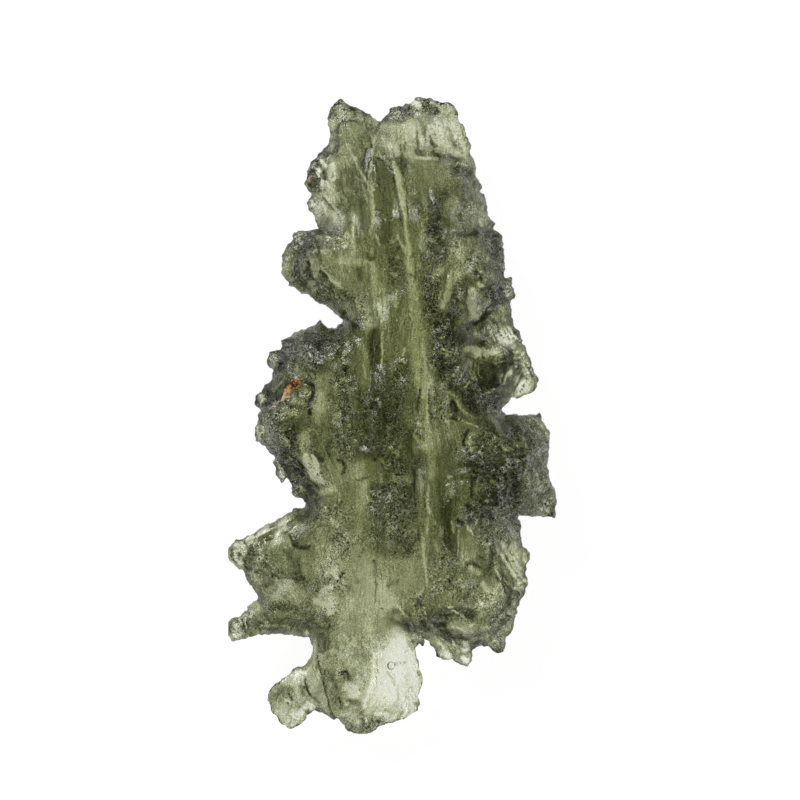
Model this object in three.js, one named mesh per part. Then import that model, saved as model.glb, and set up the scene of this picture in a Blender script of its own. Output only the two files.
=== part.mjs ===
// Moldavite: one natural piece of green tektite glass, deeply etched by the soil it lay in.
// It lies flat, as it would on a table. Millimetres, +Z up, +Y along the stone, with the
// origin on the table under the middle of its plan.
//
// The stone is one solid. Its plan is a hand-drawn outline. Its thickness and the height of its
// underside are blended between stations, its margin is rounded off, and both faces are cut by
// flutes (long U-shaped grooves) and scoops (hollows), and raised by ridges.

import * as THREE from 'three';

// ---- driving dimensions -------------------------------------------------------------------

const TOP_PITCH = 0.43;        // spacing of the mesh points on the upper face
const UNDER_PITCH = 0.66;      // spacing of the mesh points on the underside
const RIM_STEP = 0.5;          // longest straight run between two points of the rim
const RIM_CLEARANCE = 0.55;    // inner points stay this share of their pitch off the rim
const LATTICE_JITTER = 0.16;   // share of the pitch by which lattice points are put off
const LINE_SPACING = 0.6;      // share of the pitch kept clear round a point on a carved line
const LATTICE_SPACING = 0.66;  // and round a lattice point

const STATION_REACH = 1.15;    // how far a thickness station spreads
const MARGIN_WIDTH = 1.7;      // the face rounds down to the rim over this distance
const RIM_BASE = 0.26;         // thickness of the rim on a piece of no thickness
const RIM_SHARE = 0.2;         // and the share of the local thickness added to it
const ROUND_FROM_ABOVE = 0.62; // how much of the rounding the upper face takes
const THINNEST = 0.34;         // no cut leaves less glass than this
const PAD_EASE = 0.7;          // the underside runs into a resting pad over this distance

const GLASS_COLOUR = 0x6f7a4c;
const GLASS_ROUGHNESS = 0.25;

// ---- plan ---------------------------------------------------------------------------------

// Corners of the outline, counter-clockwise from the upper left peak.
const OUTLINE = [
  // upper left peak, thin left margin and the pitted bulge
  [-2.8, 17.4], [-3.1, 17.25], [-3.45, 16.85], [-3.55, 16.25], [-3.45, 15.5], [-3.55, 14.9],
  [-4.25, 14.3], [-4.5, 13.95], [-4.68, 13.55], [-4.75, 13.05], [-4.85, 12.8], [-4.45, 12.2],
  [-4.62, 11.7], [-4.55, 11.4], [-4.25, 11.0], [-4.05, 10.3],
  // first left lobe and the long notch under it
  [-4.5, 10.25], [-5.0, 10.3], [-5.5, 10.05], [-5.57, 9.6], [-5.9, 9.25], [-6.0, 8.8],
  [-6.1, 8.25], [-5.97, 7.7], [-5.7, 7.4], [-5.6, 7.1], [-5.1, 6.8], [-4.5, 6.62],
  [-4.1, 6.35], [-3.65, 6.0], [-3.45, 5.97], [-2.95, 5.5], [-2.7, 5.3], [-2.75, 5.12],
  [-2.98, 5.04], [-3.15, 4.86], [-3.55, 4.85], [-3.75, 5.0],
  // second left lobe, with two thin tabs
  [-4.0, 5.25], [-4.35, 4.92], [-4.8, 4.8], [-5.5, 4.52], [-5.75, 4.28], [-6.1, 4.15],
  [-6.15, 3.85], [-6.27, 3.65], [-6.7, 3.6], [-6.83, 3.45], [-6.9, 3.0], [-6.55, 2.5],
  [-6.6, 2.15], [-6.75, 1.85], [-7.25, 1.35], [-7.48, 0.95], [-7.5, 0.6], [-7.2, 0.32],
  [-7.4, 0.1], [-7.48, -0.4], [-7.6, -0.85], [-7.6, -1.2], [-7.45, -1.42], [-7.05, -1.65],
  [-6.85, -1.9], [-6.55, -2.22], [-6.57, -2.5], [-6.46, -2.95], [-6.46, -3.22],
  [-6.11, -3.68], [-5.9, -3.62], [-5.85, -3.42], [-5.6, -3.8], [-5.42, -4.39], [-5.1, -4.45],
  [-4.8, -4.6], [-4.7, -4.78],
  // upper spike
  [-4.87, -5.05], [-5.25, -5.06], [-5.5, -5.28], [-5.75, -5.38], [-6.1, -5.66], [-6.5, -5.87],
  [-7.1, -6.06], [-7.6, -6.46], [-7.9, -6.52], [-8.15, -6.68], [-8.25, -6.86], [-8.65, -6.95],
  [-8.85, -7.2], [-9.0, -7.5], [-8.95, -7.8], [-8.7, -8.22], [-8.3, -8.47], [-8.1, -8.7],
  [-7.95, -9.1], [-7.6, -9.7], [-7.48, -10.05],
  // lower spike and the bay under it
  [-7.65, -10.35], [-8.0, -10.72], [-8.4, -10.98], [-8.85, -11.18], [-9.05, -11.4],
  [-9.02, -12.1], [-8.85, -12.35], [-8.55, -12.4], [-8.25, -12.22], [-7.6, -12.13],
  [-7.1, -12.0], [-6.4, -11.95], [-5.45, -12.02], [-5.1, -12.12], [-4.65, -12.22],
  [-4.47, -12.45], [-4.38, -13.0], [-4.5, -13.45], [-4.68, -13.78],
  // pale block at the lower left
  [-5.1, -13.82], [-5.5, -14.08], [-6.0, -14.52], [-6.5, -14.9], [-6.87, -15.35],
  [-6.78, -15.85], [-6.5, -16.4], [-6.0, -17.0], [-5.7, -17.25], [-5.2, -17.03],
  [-4.85, -16.7], [-4.7, -16.42], [-4.3, -16.19],
  // foot and the thin window
  [-3.85, -16.24], [-3.5, -16.52], [-3.3, -16.75], [-2.93, -16.73], [-2.68, -17.08],
  [-2.48, -17.25], [-2.0, -17.42], [-1.5, -17.58], [-1.2, -17.45], [-0.85, -17.15],
  [-0.4, -16.95], [0.1, -16.85], [0.65, -16.7], [1.0, -16.48], [1.35, -16.28], [1.33, -16.15],
  [1.52, -15.88], [1.35, -15.5], [1.48, -15.0], [1.58, -14.3], [1.45, -14.06], [1.3, -13.5],
  [1.25, -12.78],
  // lower right panel with its three teeth
  [1.4, -12.7], [1.5, -12.55], [1.68, -12.62], [1.7, -12.25], [2.0, -12.4], [2.3, -12.75],
  [2.6, -13.22], [2.85, -13.43], [3.15, -13.32], [3.4, -13.34], [3.6, -13.55],
  [4.08, -13.78], [4.2, -13.6], [4.35, -13.0], [4.55, -12.7], [4.9, -12.6], [5.35, -12.78],
  [5.65, -12.95], [6.03, -13.0], [6.1, -12.6], [6.35, -12.08], [6.6, -11.76], [6.58, -11.5],
  [6.75, -11.05], [6.87, -10.88], [6.87, -10.6], [7.1, -9.98], [7.35, -9.48], [7.5, -9.2],
  [7.3, -8.85], [7.27, -8.6], [7.4, -8.22], [7.53, -8.02], [7.55, -7.75], [7.38, -7.38],
  [7.15, -7.15], [7.05, -6.6], [7.06, -5.88], [6.92, -5.68],
  // right block
  [7.0, -5.56], [7.8, -5.54], [8.45, -5.48], [8.98, -5.56], [9.0, -5.1], [9.05, -4.6],
  [8.88, -3.95], [8.78, -3.65], [8.65, -3.4], [8.52, -2.8], [8.55, -2.2], [8.73, -1.35],
  [8.68, -0.9], [8.45, -0.42], [8.2, -0.15], [8.08, 0.15], [7.9, 0.04], [7.4, 0.0],
  [6.88, -0.1], [6.7, 0.06], [6.2, 0.06], [5.97, 0.28],
  // right lobe
  [6.15, 0.6], [6.55, 1.0], [7.0, 1.02], [7.3, 1.24], [7.58, 1.32], [7.92, 1.95], [7.8, 2.4],
  [7.55, 3.05], [7.38, 3.4], [7.38, 3.75], [7.12, 3.95], [7.17, 4.18], [6.98, 4.28],
  [6.98, 4.58], [6.75, 4.85], [6.5, 5.42], [6.45, 6.35], [6.74, 6.55], [6.62, 7.15],
  [6.58, 7.68], [6.2, 7.65], [6.22, 8.2], [6.08, 8.95], [6.0, 9.95], [5.85, 10.12],
  // upper right flank
  [5.5, 10.25], [5.62, 10.5], [5.3, 11.08], [5.1, 11.35], [5.15, 11.6], [5.02, 12.0],
  [4.78, 12.3], [4.75, 12.8], [4.6, 13.35], [4.45, 14.0], [4.22, 14.5], [4.22, 14.8],
  [4.05, 15.4], [3.93, 15.85], [3.62, 16.4], [3.5, 16.95], [3.35, 17.15], [3.05, 17.33],
  // crown, with the notch between the two peaks
  [2.7, 17.32], [2.45, 17.38], [1.9, 17.4], [1.55, 17.58], [1.35, 17.45], [1.0, 17.2],
  [0.5, 17.02], [-0.1, 16.93], [-0.22, 16.62], [-0.5, 16.28], [-0.72, 16.14], [-0.9, 16.25],
  [-1.1, 16.48], [-1.4, 16.6], [-1.7, 16.88], [-2.0, 16.85], [-2.4, 17.12],
];

// ---- thickness ----------------------------------------------------------------------------

// Stations: x, y, thickness of the glass there, and how high its underside stands.
const STATIONS = [
  // upper left peak, pale margin, pitted bulge
  [-2.8, 16.7, 1.7, 1.9], [-1.6, 16.2, 2.1, 1.6], [-2.6, 15.2, 2.5, 1.3], [-1.6, 14.2, 3.0, 0.9],
  [-3.3, 13.2, 1.5, 1.6], [-4.3, 13.2, 2.2, 1.3], [-4.1, 11.6, 1.1, 1.8], [-3.1, 11.0, 2.0, 1.2],
  // crown and its thin right panel
  [0.4, 16.5, 1.9, 1.5], [1.5, 15.4, 1.8, 1.4], [2.6, 16.1, 1.3, 1.7], [3.6, 16.2, 0.9, 1.9],
  [4.0, 14.8, 1.5, 1.5], [2.7, 14.8, 1.7, 1.4], [0.0, 15.0, 2.3, 1.1], [-0.6, 15.6, 2.2, 1.3],
  // upper body
  [-0.5, 12.8, 4.6, 0.3], [-2.1, 12.0, 3.7, 0.5], [1.2, 12.9, 3.9, 0.4], [3.0, 13.0, 3.5, 0.6],
  [4.2, 13.2, 3.0, 0.8], [2.4, 10.4, 5.5, 0.1], [4.0, 11.0, 3.8, 0.6], [5.2, 10.9, 1.7, 1.5],
  [0.6, 10.2, 4.9, 0.1], [-1.6, 9.6, 4.7, 0.2], [5.5, 9.2, 4.2, 0.7], [3.9, 8.8, 3.7, 0.5],
  // first left lobe
  [-3.2, 9.2, 3.9, 0.5], [-4.7, 9.5, 3.4, 1.0], [-5.7, 8.6, 2.4, 1.6], [-4.9, 7.5, 2.9, 1.3],
  [-3.5, 7.0, 3.3, 0.7],
  // middle of the body, above the waist
  [-1.0, 7.0, 4.3, 0.1], [0.9, 7.6, 4.9, 0.0], [2.2, 6.6, 5.6, 0.0], [3.2, 7.4, 3.9, 0.4],
  [4.4, 6.4, 2.9, 1.0], [5.7, 6.8, 4.0, 0.8], [6.3, 5.7, 2.0, 1.7], [3.5, 5.0, 5.1, 0.2],
  [1.3, 4.2, 4.8, 0.0], [-0.8, 3.8, 5.3, 0.0], [-2.0, 4.0, 4.3, 0.3], [2.4, 3.8, 5.7, 0.0],
  // right lobe
  [6.2, 4.5, 1.7, 1.8], [5.0, 3.5, 2.5, 1.3], [7.0, 2.0, 1.9, 1.8], [4.6, 1.9, 5.0, 0.4],
  [5.6, 1.0, 4.2, 0.8], [7.2, 3.6, 1.2, 2.1],
  // second left lobe and its tabs
  [-4.2, 3.9, 4.6, 0.4], [-5.5, 3.2, 3.7, 0.8], [-6.65, 3.1, 0.6, 2.3], [-6.9, 1.1, 3.0, 1.0],
  [-5.2, 1.2, 4.3, 0.2], [-3.7, 0.8, 3.7, 0.2], [-5.6, -1.2, 4.5, 0.3], [-6.8, -0.9, 3.0, 0.9],
  [-6.2, -3.2, 0.6, 2.2], [-5.4, -3.7, 2.8, 1.2], [-4.5, -2.9, 2.3, 1.1], [-4.2, -0.8, 3.8, 0.2],
  // waist
  [-2.4, 1.4, 4.8, 0.1], [-0.7, 0.6, 5.8, 0.0], [1.1, 1.0, 5.4, 0.0], [2.4, 0.6, 4.8, 0.1],
  [-2.5, -1.6, 4.4, 0.2], [-0.6, -2.0, 5.7, 0.0], [1.0, -2.4, 5.5, 0.0], [2.9, -2.4, 4.4, 0.2],
  [-1.8, -4.0, 3.6, 0.5], [-3.1, -4.8, 3.9, 0.5], [0.2, -5.0, 5.6, 0.0], [2.0, -5.2, 4.3, 0.2],
  // right block
  [4.3, -0.8, 4.5, 0.3], [6.0, -1.2, 4.6, 0.4], [8.0, -1.2, 3.3, 1.0], [5.2, -3.4, 5.1, 0.0],
  [6.8, -3.6, 4.8, 0.2], [8.3, -4.3, 3.2, 1.0], [5.4, -5.4, 4.8, 0.2], [3.0, -5.8, 5.3, 0.1],
  // upper and lower spikes
  [-4.9, -5.5, 2.7, 1.0], [-6.6, -6.5, 2.1, 1.6], [-8.3, -7.6, 2.0, 2.0], [-7.6, -9.0, 1.6, 1.7],
  [-5.9, -8.2, 3.2, 0.8], [-4.3, -7.3, 3.3, 0.5], [-6.5, -9.8, 2.4, 1.1], [-6.2, -11.2, 3.4, 0.8],
  [-8.5, -11.7, 2.1, 1.5], [-4.3, -11.4, 3.7, 0.6],
  // lower body
  [-2.6, -7.4, 3.1, 0.4], [-1.2, -9.0, 2.7, 0.3], [0.5, -7.2, 4.5, 0.1], [0.6, -9.2, 3.0, 0.3],
  [-3.7, -10.0, 2.1, 0.9], [-2.2, -11.4, 3.0, 0.4], [-0.3, -10.8, 2.7, 0.6], [1.3, -10.8, 3.5, 0.5],
  [-3.6, -12.8, 3.0, 0.6], [-2.4, -13.6, 2.6, 0.7],
  // foot, window and pale block
  [-0.2, -12.6, 0.6, 1.7], [0.5, -12.0, 0.6, 1.7], [0.0, -14.2, 0.5, 1.6], [0.8, -13.4, 0.5, 1.7],
  [-0.7, -15.4, 0.55, 1.5], [0.9, -15.6, 0.7, 1.5], [-1.8, -14.6, 1.9, 1.0],
  [-2.2, -15.9, 1.9, 1.0], [-1.7, -17.0, 1.9, 1.0], [-3.4, -15.4, 2.5, 0.8],
  [-4.5, -14.8, 1.5, 1.3], [-5.8, -15.4, 1.4, 1.5], [-5.4, -16.5, 0.8, 1.8],
  // lower right panel
  [2.4, -8.8, 3.9, 0.4], [4.2, -7.4, 3.4, 0.6], [6.3, -6.8, 1.6, 1.6], [6.9, -9.0, 1.6, 1.7],
  [5.3, -9.6, 2.8, 0.9], [3.3, -10.8, 4.5, 0.4], [5.7, -11.6, 2.7, 1.1], [3.2, -12.2, 1.8, 1.4],
  [3.9, -13.2, 0.7, 1.9], [2.8, -13.1, 0.9, 1.8],
];

// Resting pads: x, y, radius. The underside is worn flat on the table over each of them.
const PADS = [
  [0.8, 8.4, 1.5], [-4.5, 1.0, 1.2], [0.0, -0.9, 1.6], [5.4, -3.6, 1.3], [-0.9, -8.2, 1.3],
];

// ---- carving ------------------------------------------------------------------------------

// Flutes: the nodes of a groove's middle line, as x, y, half width and depth.
const TOP_FLUTES = [
  // the long pale ribbon down the whole stone
  [[0.0, 14.1, 0.2, 0.0], [0.4, 12.9, 0.3, 0.5], [0.65, 11.3, 0.35, 0.6], [0.8, 9.5, 0.4, 0.6],
    [1.0, 7.5, 0.5, 0.6], [1.3, 5.2, 0.6, 0.7], [1.6, 3.2, 0.5, 0.7], [1.8, 1.2, 0.45, 0.6],
    [2.0, -1.8, 0.5, 0.6], [1.9, -4.4, 0.4, 0.6], [1.75, -7.0, 0.35, 0.4], [1.7, -9.4, 0.3, 0.0]],
  // upper body, left to right
  [[-2.6, 15.0, 0.3, 0.0], [-2.9, 12.4, 0.5, 0.6], [-2.7, 10.2, 0.5, 0.5],
    [-2.5, 8.2, 0.5, 0.5], [-2.2, 6.3, 0.3, 0.0]],
  [[-1.6, 15.0, 0.3, 0.0], [-1.8, 12.4, 0.45, 0.6], [-1.7, 10.0, 0.45, 0.6],
    [-1.6, 7.6, 0.5, 0.5], [-1.7, 5.6, 0.4, 0.4], [-1.7, 3.0, 0.5, 0.5], [-1.75, 0.4, 0.5, 0.6],
    [-1.8, -2.2, 0.5, 0.5], [-1.9, -5.4, 0.6, 0.0]],
  [[-0.6, 14.6, 0.3, 0.0], [-0.45, 12.4, 0.5, 0.7], [-0.35, 10.0, 0.5, 0.7],
    [-0.25, 7.6, 0.45, 0.5], [-0.2, 5.4, 0.3, 0.0]],
  [[1.6, 13.8, 0.3, 0.0], [1.9, 11.8, 0.45, 0.6], [2.3, 9.6, 0.6, 1.0], [2.25, 7.2, 0.55, 0.9],
    [2.35, 5.0, 0.5, 0.8], [2.55, 3.0, 0.5, 0.7], [2.7, 0.8, 0.4, 0.0]],
  [[3.0, 13.4, 0.3, 0.0], [3.5, 11.0, 0.5, 0.5], [3.6, 9.0, 0.5, 0.5], [3.1, 7.2, 0.4, 0.7],
    [2.9, 5.8, 0.3, 0.0]],
  [[4.3, 12.6, 0.3, 0.0], [4.6, 10.9, 0.4, 0.4], [4.9, 9.2, 0.5, 0.6], [4.7, 7.9, 0.3, 0.0]],
  // waist and lower body
  [[-0.9, 5.8, 0.3, 0.0], [-0.95, 3.6, 0.4, 0.8], [-1.0, 1.0, 0.4, 0.7], [-0.9, -1.6, 0.45, 0.7],
    [-0.85, -4.2, 0.4, 0.6], [-0.9, -6.6, 0.3, 0.0]],
  [[0.2, 5.4, 0.3, 0.0], [0.15, 2.8, 0.6, 0.7], [0.1, 0.2, 0.6, 0.9], [0.2, -2.6, 0.6, 0.9],
    [0.35, -5.2, 0.6, 0.9], [0.3, -7.8, 0.4, 0.0]],
  [[1.05, 1.6, 0.2, 0.0], [1.1, -0.8, 0.35, 0.6], [1.15, -3.6, 0.35, 0.7], [1.15, -6.8, 0.3, 0.0]],
  [[2.9, 0.9, 0.4, 0.0], [3.1, -1.2, 0.6, 0.6], [3.4, -3.2, 0.6, 0.6], [3.5, -5.0, 0.3, 0.0]],
  [[2.75, -4.3, 0.2, 0.0], [2.95, -5.8, 0.35, 0.9], [3.05, -7.4, 0.35, 0.6],
    [3.2, -9.2, 0.3, 0.0]],
  [[4.0, -5.9, 0.3, 0.0], [4.2, -7.6, 0.55, 0.6], [4.3, -9.4, 0.5, 0.5], [4.1, -11.2, 0.3, 0.0]],
  [[-1.0, -7.4, 0.4, 0.0], [-0.9, -9.2, 0.7, 0.4], [-1.1, -11.4, 0.5, 0.0]],
  [[-2.5, -8.0, 0.4, 0.0], [-2.2, -10.4, 0.6, 0.5], [-2.1, -12.6, 0.6, 0.5],
    [-2.0, -14.6, 0.4, 0.0]],
  [[-3.7, -13.4, 0.2, 0.0], [-3.6, -14.6, 0.3, 0.5], [-3.2, -16.3, 0.25, 0.2]],
  [[-4.9, -13.9, 0.2, 0.1], [-4.7, -14.9, 0.25, 0.4], [-4.1, -15.9, 0.2, 0.2]],
  // right lobe: the slanting dark groove, the pale band and the fan
  [[3.3, 4.5, 0.2, 0.0], [4.4, 5.05, 0.35, 1.0], [5.4, 5.8, 0.4, 1.1], [6.3, 6.9, 0.35, 0.5]],
  [[3.6, 3.8, 0.2, 0.0], [4.6, 3.5, 0.4, 0.7], [5.8, 3.5, 0.35, 0.6], [7.0, 3.8, 0.3, 0.3]],
  [[5.6, 1.4, 0.2, 0.0], [6.3, 2.2, 0.3, 0.4], [6.9, 3.0, 0.25, 0.3]],
  [[6.1, 1.0, 0.2, 0.1], [6.8, 1.8, 0.3, 0.4], [7.4, 2.6, 0.25, 0.2]],
  // first left lobe: the fan that runs in towards the body
  [[-5.3, 9.1, 0.2, 0.0], [-4.2, 8.4, 0.35, 0.5], [-3.0, 7.2, 0.3, 0.0]],
  [[-5.2, 8.1, 0.2, 0.0], [-4.3, 7.4, 0.35, 0.5], [-3.2, 6.5, 0.3, 0.0]],
  // spikes
  [[-8.3, -7.4, 0.3, 0.0], [-7.0, -6.9, 0.45, 0.5], [-5.8, -6.2, 0.45, 0.5], [-4.8, -5.7, 0.3, 0.0]],
  [[-8.4, -11.5, 0.3, 0.0], [-7.0, -11.3, 0.4, 0.6], [-5.6, -11.1, 0.4, 0.7], [-4.6, -10.9, 0.3, 0.0]],
  // lower right panel: the fan below the block
  [[5.7, -6.4, 0.2, 0.0], [6.1, -7.8, 0.4, 0.5], [6.5, -9.4, 0.35, 0.3]],
  [[6.6, -6.1, 0.2, 0.1], [6.8, -7.4, 0.35, 0.4], [7.1, -8.6, 0.3, 0.2]],
  [[2.3, -11.9, 0.2, 0.0], [3.0, -12.4, 0.35, 0.4], [3.9, -12.8, 0.3, 0.2]],
];

// Ridges: nodes as x, y, half width and height. Their cross-section is a sharp tent.
const TOP_RIDGES = [
  [[-1.0, 15.2, 0.3, 0.0], [-1.3, 13.4, 0.35, 0.5], [-1.1, 11.8, 0.3, 0.5], [-1.05, 9.6, 0.3, 0.0]],
  [[-2.2, 14.3, 0.3, 0.0], [-1.6, 13.2, 0.3, 0.4], [-1.2, 12.2, 0.3, 0.3]],
  [[1.4, 14.1, 0.3, 0.0], [2.2, 14.2, 0.35, 0.6], [3.2, 14.0, 0.3, 0.0]],
  [[2.0, 11.0, 0.3, 0.0], [1.6, 8.4, 0.35, 0.5], [1.85, 5.4, 0.3, 0.5], [2.05, 2.6, 0.3, 0.3],
    [2.4, 0.4, 0.3, 0.0]],
  [[3.0, 9.4, 0.3, 0.0], [2.8, 7.4, 0.3, 0.6], [2.75, 5.6, 0.3, 0.0]],
  [[4.6, 8.2, 0.3, 0.0], [5.0, 7.4, 0.35, 0.7], [6.0, 7.5, 0.3, 0.4]],
  [[-4.4, 2.2, 0.3, 0.0], [-4.3, 0.4, 0.4, 0.6], [-4.6, -1.2, 0.3, 0.0]],
  [[-2.6, 3.4, 0.3, 0.0], [-2.5, 1.0, 0.4, 0.5], [-2.7, -1.6, 0.3, 0.0]],
  [[4.0, -0.6, 0.3, 0.0], [4.0, -2.4, 0.35, 0.6], [4.1, -4.4, 0.3, 0.3], [4.6, -6.2, 0.3, 0.0]],
  [[7.2, -1.4, 0.3, 0.0], [7.3, -3.2, 0.4, 0.6], [7.1, -4.9, 0.3, 0.3]],
  [[-4.6, -2.0, 0.3, 0.0], [-3.9, -3.2, 0.35, 0.5], [-3.6, -4.2, 0.3, 0.0]],
  [[1.5, -4.2, 0.3, 0.0], [1.5, -7.2, 0.3, 0.5], [1.6, -10.6, 0.3, 0.4], [1.5, -12.2, 0.2, 0.1]],
  [[-7.6, -8.4, 0.3, 0.0], [-6.8, -7.5, 0.4, 0.5], [-5.6, -6.9, 0.3, 0.3], [-4.4, -6.4, 0.3, 0.0]],
  [[-7.4, -10.2, 0.3, 0.1], [-5.9, -10.0, 0.4, 0.5], [-4.6, -10.3, 0.3, 0.0]],
  [[-3.4, -14.0, 0.2, 0.0], [-2.4, -14.2, 0.35, 0.5], [-1.7, -14.0, 0.2, 0.0]],
  [[5.4, -6.2, 0.2, 0.0], [5.7, -7.6, 0.3, 0.5], [6.0, -9.0, 0.3, 0.3]],
];

// Scoops: x, y, half length, half width, turn in degrees, depth.
const TOP_SCOOPS = [
  [-5.9, -8.4, 1.0, 0.8, 10, 1.1], [-5.2, -7.1, 0.7, 0.4, 0, 0.6], [-6.1, -9.6, 0.9, 0.45, 10, 0.5],
  [4.5, 2.2, 1.1, 0.9, 30, 1.0], [4.9, 0.9, 1.0, 0.6, -10, 0.8], [3.5, 1.2, 0.6, 0.9, 20, 0.7],
  [4.4, 6.3, 0.55, 1.0, -10, 0.5], [5.8, 6.9, 0.6, 0.5, 0, 0.7], [6.1, 4.5, 0.6, 0.5, 0, 0.3],
  [4.2, -1.25, 0.55, 0.6, 0, 0.6], [5.6, -2.2, 0.7, 0.6, 20, 0.7], [5.0, -4.0, 0.7, 0.8, 0, 0.8],
  [6.2, -4.2, 0.6, 0.9, 10, 0.9], [6.4, -2.4, 0.5, 0.6, 40, 0.6], [7.9, -2.6, 0.6, 0.7, 0, 0.5],
  [8.0, -4.6, 0.6, 0.5, 0, 0.5], [4.2, -5.6, 0.45, 0.5, 0, 0.8], [5.2, -5.6, 0.5, 0.4, 0, 0.6],
  [-4.1, 3.9, 0.7, 0.6, 0, 0.9], [-5.2, 3.0, 0.6, 0.5, 0, 0.5], [-5.5, 1.6, 0.7, 0.35, 60, 0.6],
  [-4.8, 1.4, 0.35, 0.5, 0, 0.5], [-6.5, 1.0, 0.6, 0.5, 30, 0.6], [-5.5, -0.9, 0.7, 0.7, 0, 0.8],
  [-5.5, -3.3, 0.4, 0.5, 0, 0.5], [-2.9, -2.9, 0.45, 0.4, 0, 0.5], [-3.2, 0.6, 0.5, 0.8, 0, 0.4],
  [-4.7, 9.5, 0.6, 0.5, 0, 0.6], [-5.2, 8.4, 0.5, 0.6, 0, 0.5], [-4.2, 13.4, 0.35, 0.7, 0, 0.5],
  [-3.8, 10.1, 0.5, 0.3, 0, 0.4], [5.5, 9.2, 0.5, 0.7, 0, 0.8], [5.2, 10.2, 0.4, 0.3, 0, 0.4],
  [3.2, -10.9, 1.1, 0.5, 0, 0.9], [0.8, -4.2, 0.6, 1.1, 0, 0.4], [-4.1, -11.5, 0.6, 0.6, 0, 0.8],
  [-3.9, -12.5, 0.45, 0.6, 0, 0.6], [-8.1, -11.5, 0.4, 0.5, 0, 0.4], [-5.9, -15.6, 0.5, 0.35, 30, 0.4],
  [-2.4, -14.7, 0.6, 0.5, 0, 0.4], [-1.5, -17.0, 0.5, 0.25, 0, 0.3], [5.6, -10.9, 0.7, 0.4, 30, 0.5],
];

const UNDER_FLUTES = [
  [[-2.9, 16.2, 0.4, 0.0], [-2.4, 13.0, 0.7, 0.6], [-2.2, 9.6, 0.8, 0.8], [-2.6, 6.4, 0.5, 0.0]],
  [[1.6, 16.4, 0.4, 0.0], [2.4, 13.2, 0.7, 0.5], [3.6, 10.6, 0.8, 0.8], [4.4, 8.0, 0.5, 0.0]],
  [[-0.9, 14.2, 0.4, 0.0], [-0.8, 10.8, 0.5, 0.5], [-1.0, 6.4, 0.7, 0.8], [-0.8, 2.4, 0.5, 0.0]],
  [[2.0, 5.8, 0.4, 0.0], [2.6, 2.6, 0.8, 0.8], [2.4, -1.2, 0.7, 0.8], [3.0, -4.4, 0.4, 0.0]],
  [[-2.6, 3.4, 0.4, 0.0], [-2.6, 0.0, 0.7, 0.8], [-2.8, -3.4, 0.7, 0.7], [-3.6, -6.2, 0.5, 0.0]],
  [[1.2, -3.2, 0.4, 0.0], [1.4, -6.8, 0.8, 0.9], [2.2, -10.2, 0.7, 0.8], [2.9, -12.4, 0.4, 0.0]],
  [[-2.4, -9.6, 0.4, 0.0], [-2.6, -12.4, 0.7, 0.6], [-2.7, -15.4, 0.5, 0.0]],
  [[4.2, 4.2, 0.4, 0.0], [5.4, 3.0, 0.6, 0.7], [6.8, 2.4, 0.5, 0.3]],
  [[-8.2, -7.9, 0.3, 0.0], [-6.4, -7.6, 0.6, 0.6], [-4.6, -8.4, 0.5, 0.0]],
  [[4.0, -6.6, 0.4, 0.0], [5.2, -8.2, 0.6, 0.6], [6.2, -10.4, 0.5, 0.2]],
];

const UNDER_SCOOPS = [
  [-4.9, 8.9, 0.9, 0.7, 20, 0.6], [5.3, 8.6, 0.8, 0.8, 0, 0.7], [4.0, 13.0, 0.6, 1.0, 10, 0.5],
  [-6.2, -0.8, 0.8, 0.9, 0, 0.8], [-5.2, 3.6, 0.9, 0.7, 0, 0.7], [7.6, -2.2, 0.8, 1.0, 0, 0.7],
  [6.8, -4.9, 0.9, 0.5, 0, 0.6], [4.6, -0.2, 0.9, 0.8, 0, 0.8], [-6.6, -11.2, 1.1, 0.5, 0, 0.7],
  [-3.6, -11.2, 0.7, 0.7, 0, 0.6], [4.6, 6.2, 0.8, 0.8, 0, 0.6], [0.6, 12.4, 0.7, 1.1, 0, 0.5],
];

// ---- small tools --------------------------------------------------------------------------

const clamp01 = (value) => Math.min(Math.max(value, 0), 1);

const mix = (from, to, share) => from + (to - from) * share;

const distance = (a, b) => Math.hypot(a[0] - b[0], a[1] - b[1]);

// Repeatable number between -0.5 and 0.5 for a lattice point.
function scatter(row, column, salt) {
  const value = Math.sin(row * 127.1 + column * 311.7 + salt * 74.7) * 43758.5453;
  return value - Math.floor(value) - 0.5;
}

// How far along the stretch from start to end the nearest place to a point is, from 0 to 1.
function shareAlong(point, start, end) {
  const dx = end[0] - start[0];
  const dy = end[1] - start[1];
  const along = (point[0] - start[0]) * dx + (point[1] - start[1]) * dy;
  return clamp01(along / (dx * dx + dy * dy));
}

// Nearest place on a groove or ridge: its distance, half width and depth there.
function nearestOnStroke(point, nodes) {
  let best = { gap: Infinity, half: 1, depth: 0 };
  for (let i = 1; i < nodes.length; i += 1) {
    const share = shareAlong(point, nodes[i - 1], nodes[i]);
    const place = nodes[i].map((value, k) => mix(nodes[i - 1][k], value, share));
    const gap = distance(point, place);
    if (gap < best.gap) {
      best = { gap, half: place[2], depth: place[3] };
    }
  }
  return best;
}

// The middle line of a flute and its two shoulders, as plain lines.
function fluteLines(nodes) {
  const line = nodes.map(([x, y]) => [x, y]);
  const shoulder = (side) => nodes.map(([x, y, half], i) => {
    const before = nodes[Math.max(i - 1, 0)];
    const after = nodes[Math.min(i + 1, nodes.length - 1)];
    const run = distance(before, after);
    const across = [(before[1] - after[1]) / run, (after[0] - before[0]) / run];
    return [x + across[0] * half * side, y + across[1] * half * side];
  });
  return [line, shoulder(-1), shoulder(1)];
}

// ---- surface heights ----------------------------------------------------------------------

function rimPoints() {
  const points = [];
  OUTLINE.forEach((corner, i) => {
    const next = OUTLINE[(i + 1) % OUTLINE.length];
    const pieces = Math.ceil(distance(corner, next) / RIM_STEP);
    for (let k = 0; k < pieces; k += 1) {
      points.push([mix(corner[0], next[0], k / pieces), mix(corner[1], next[1], k / pieces)]);
    }
  });
  return points;
}

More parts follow.
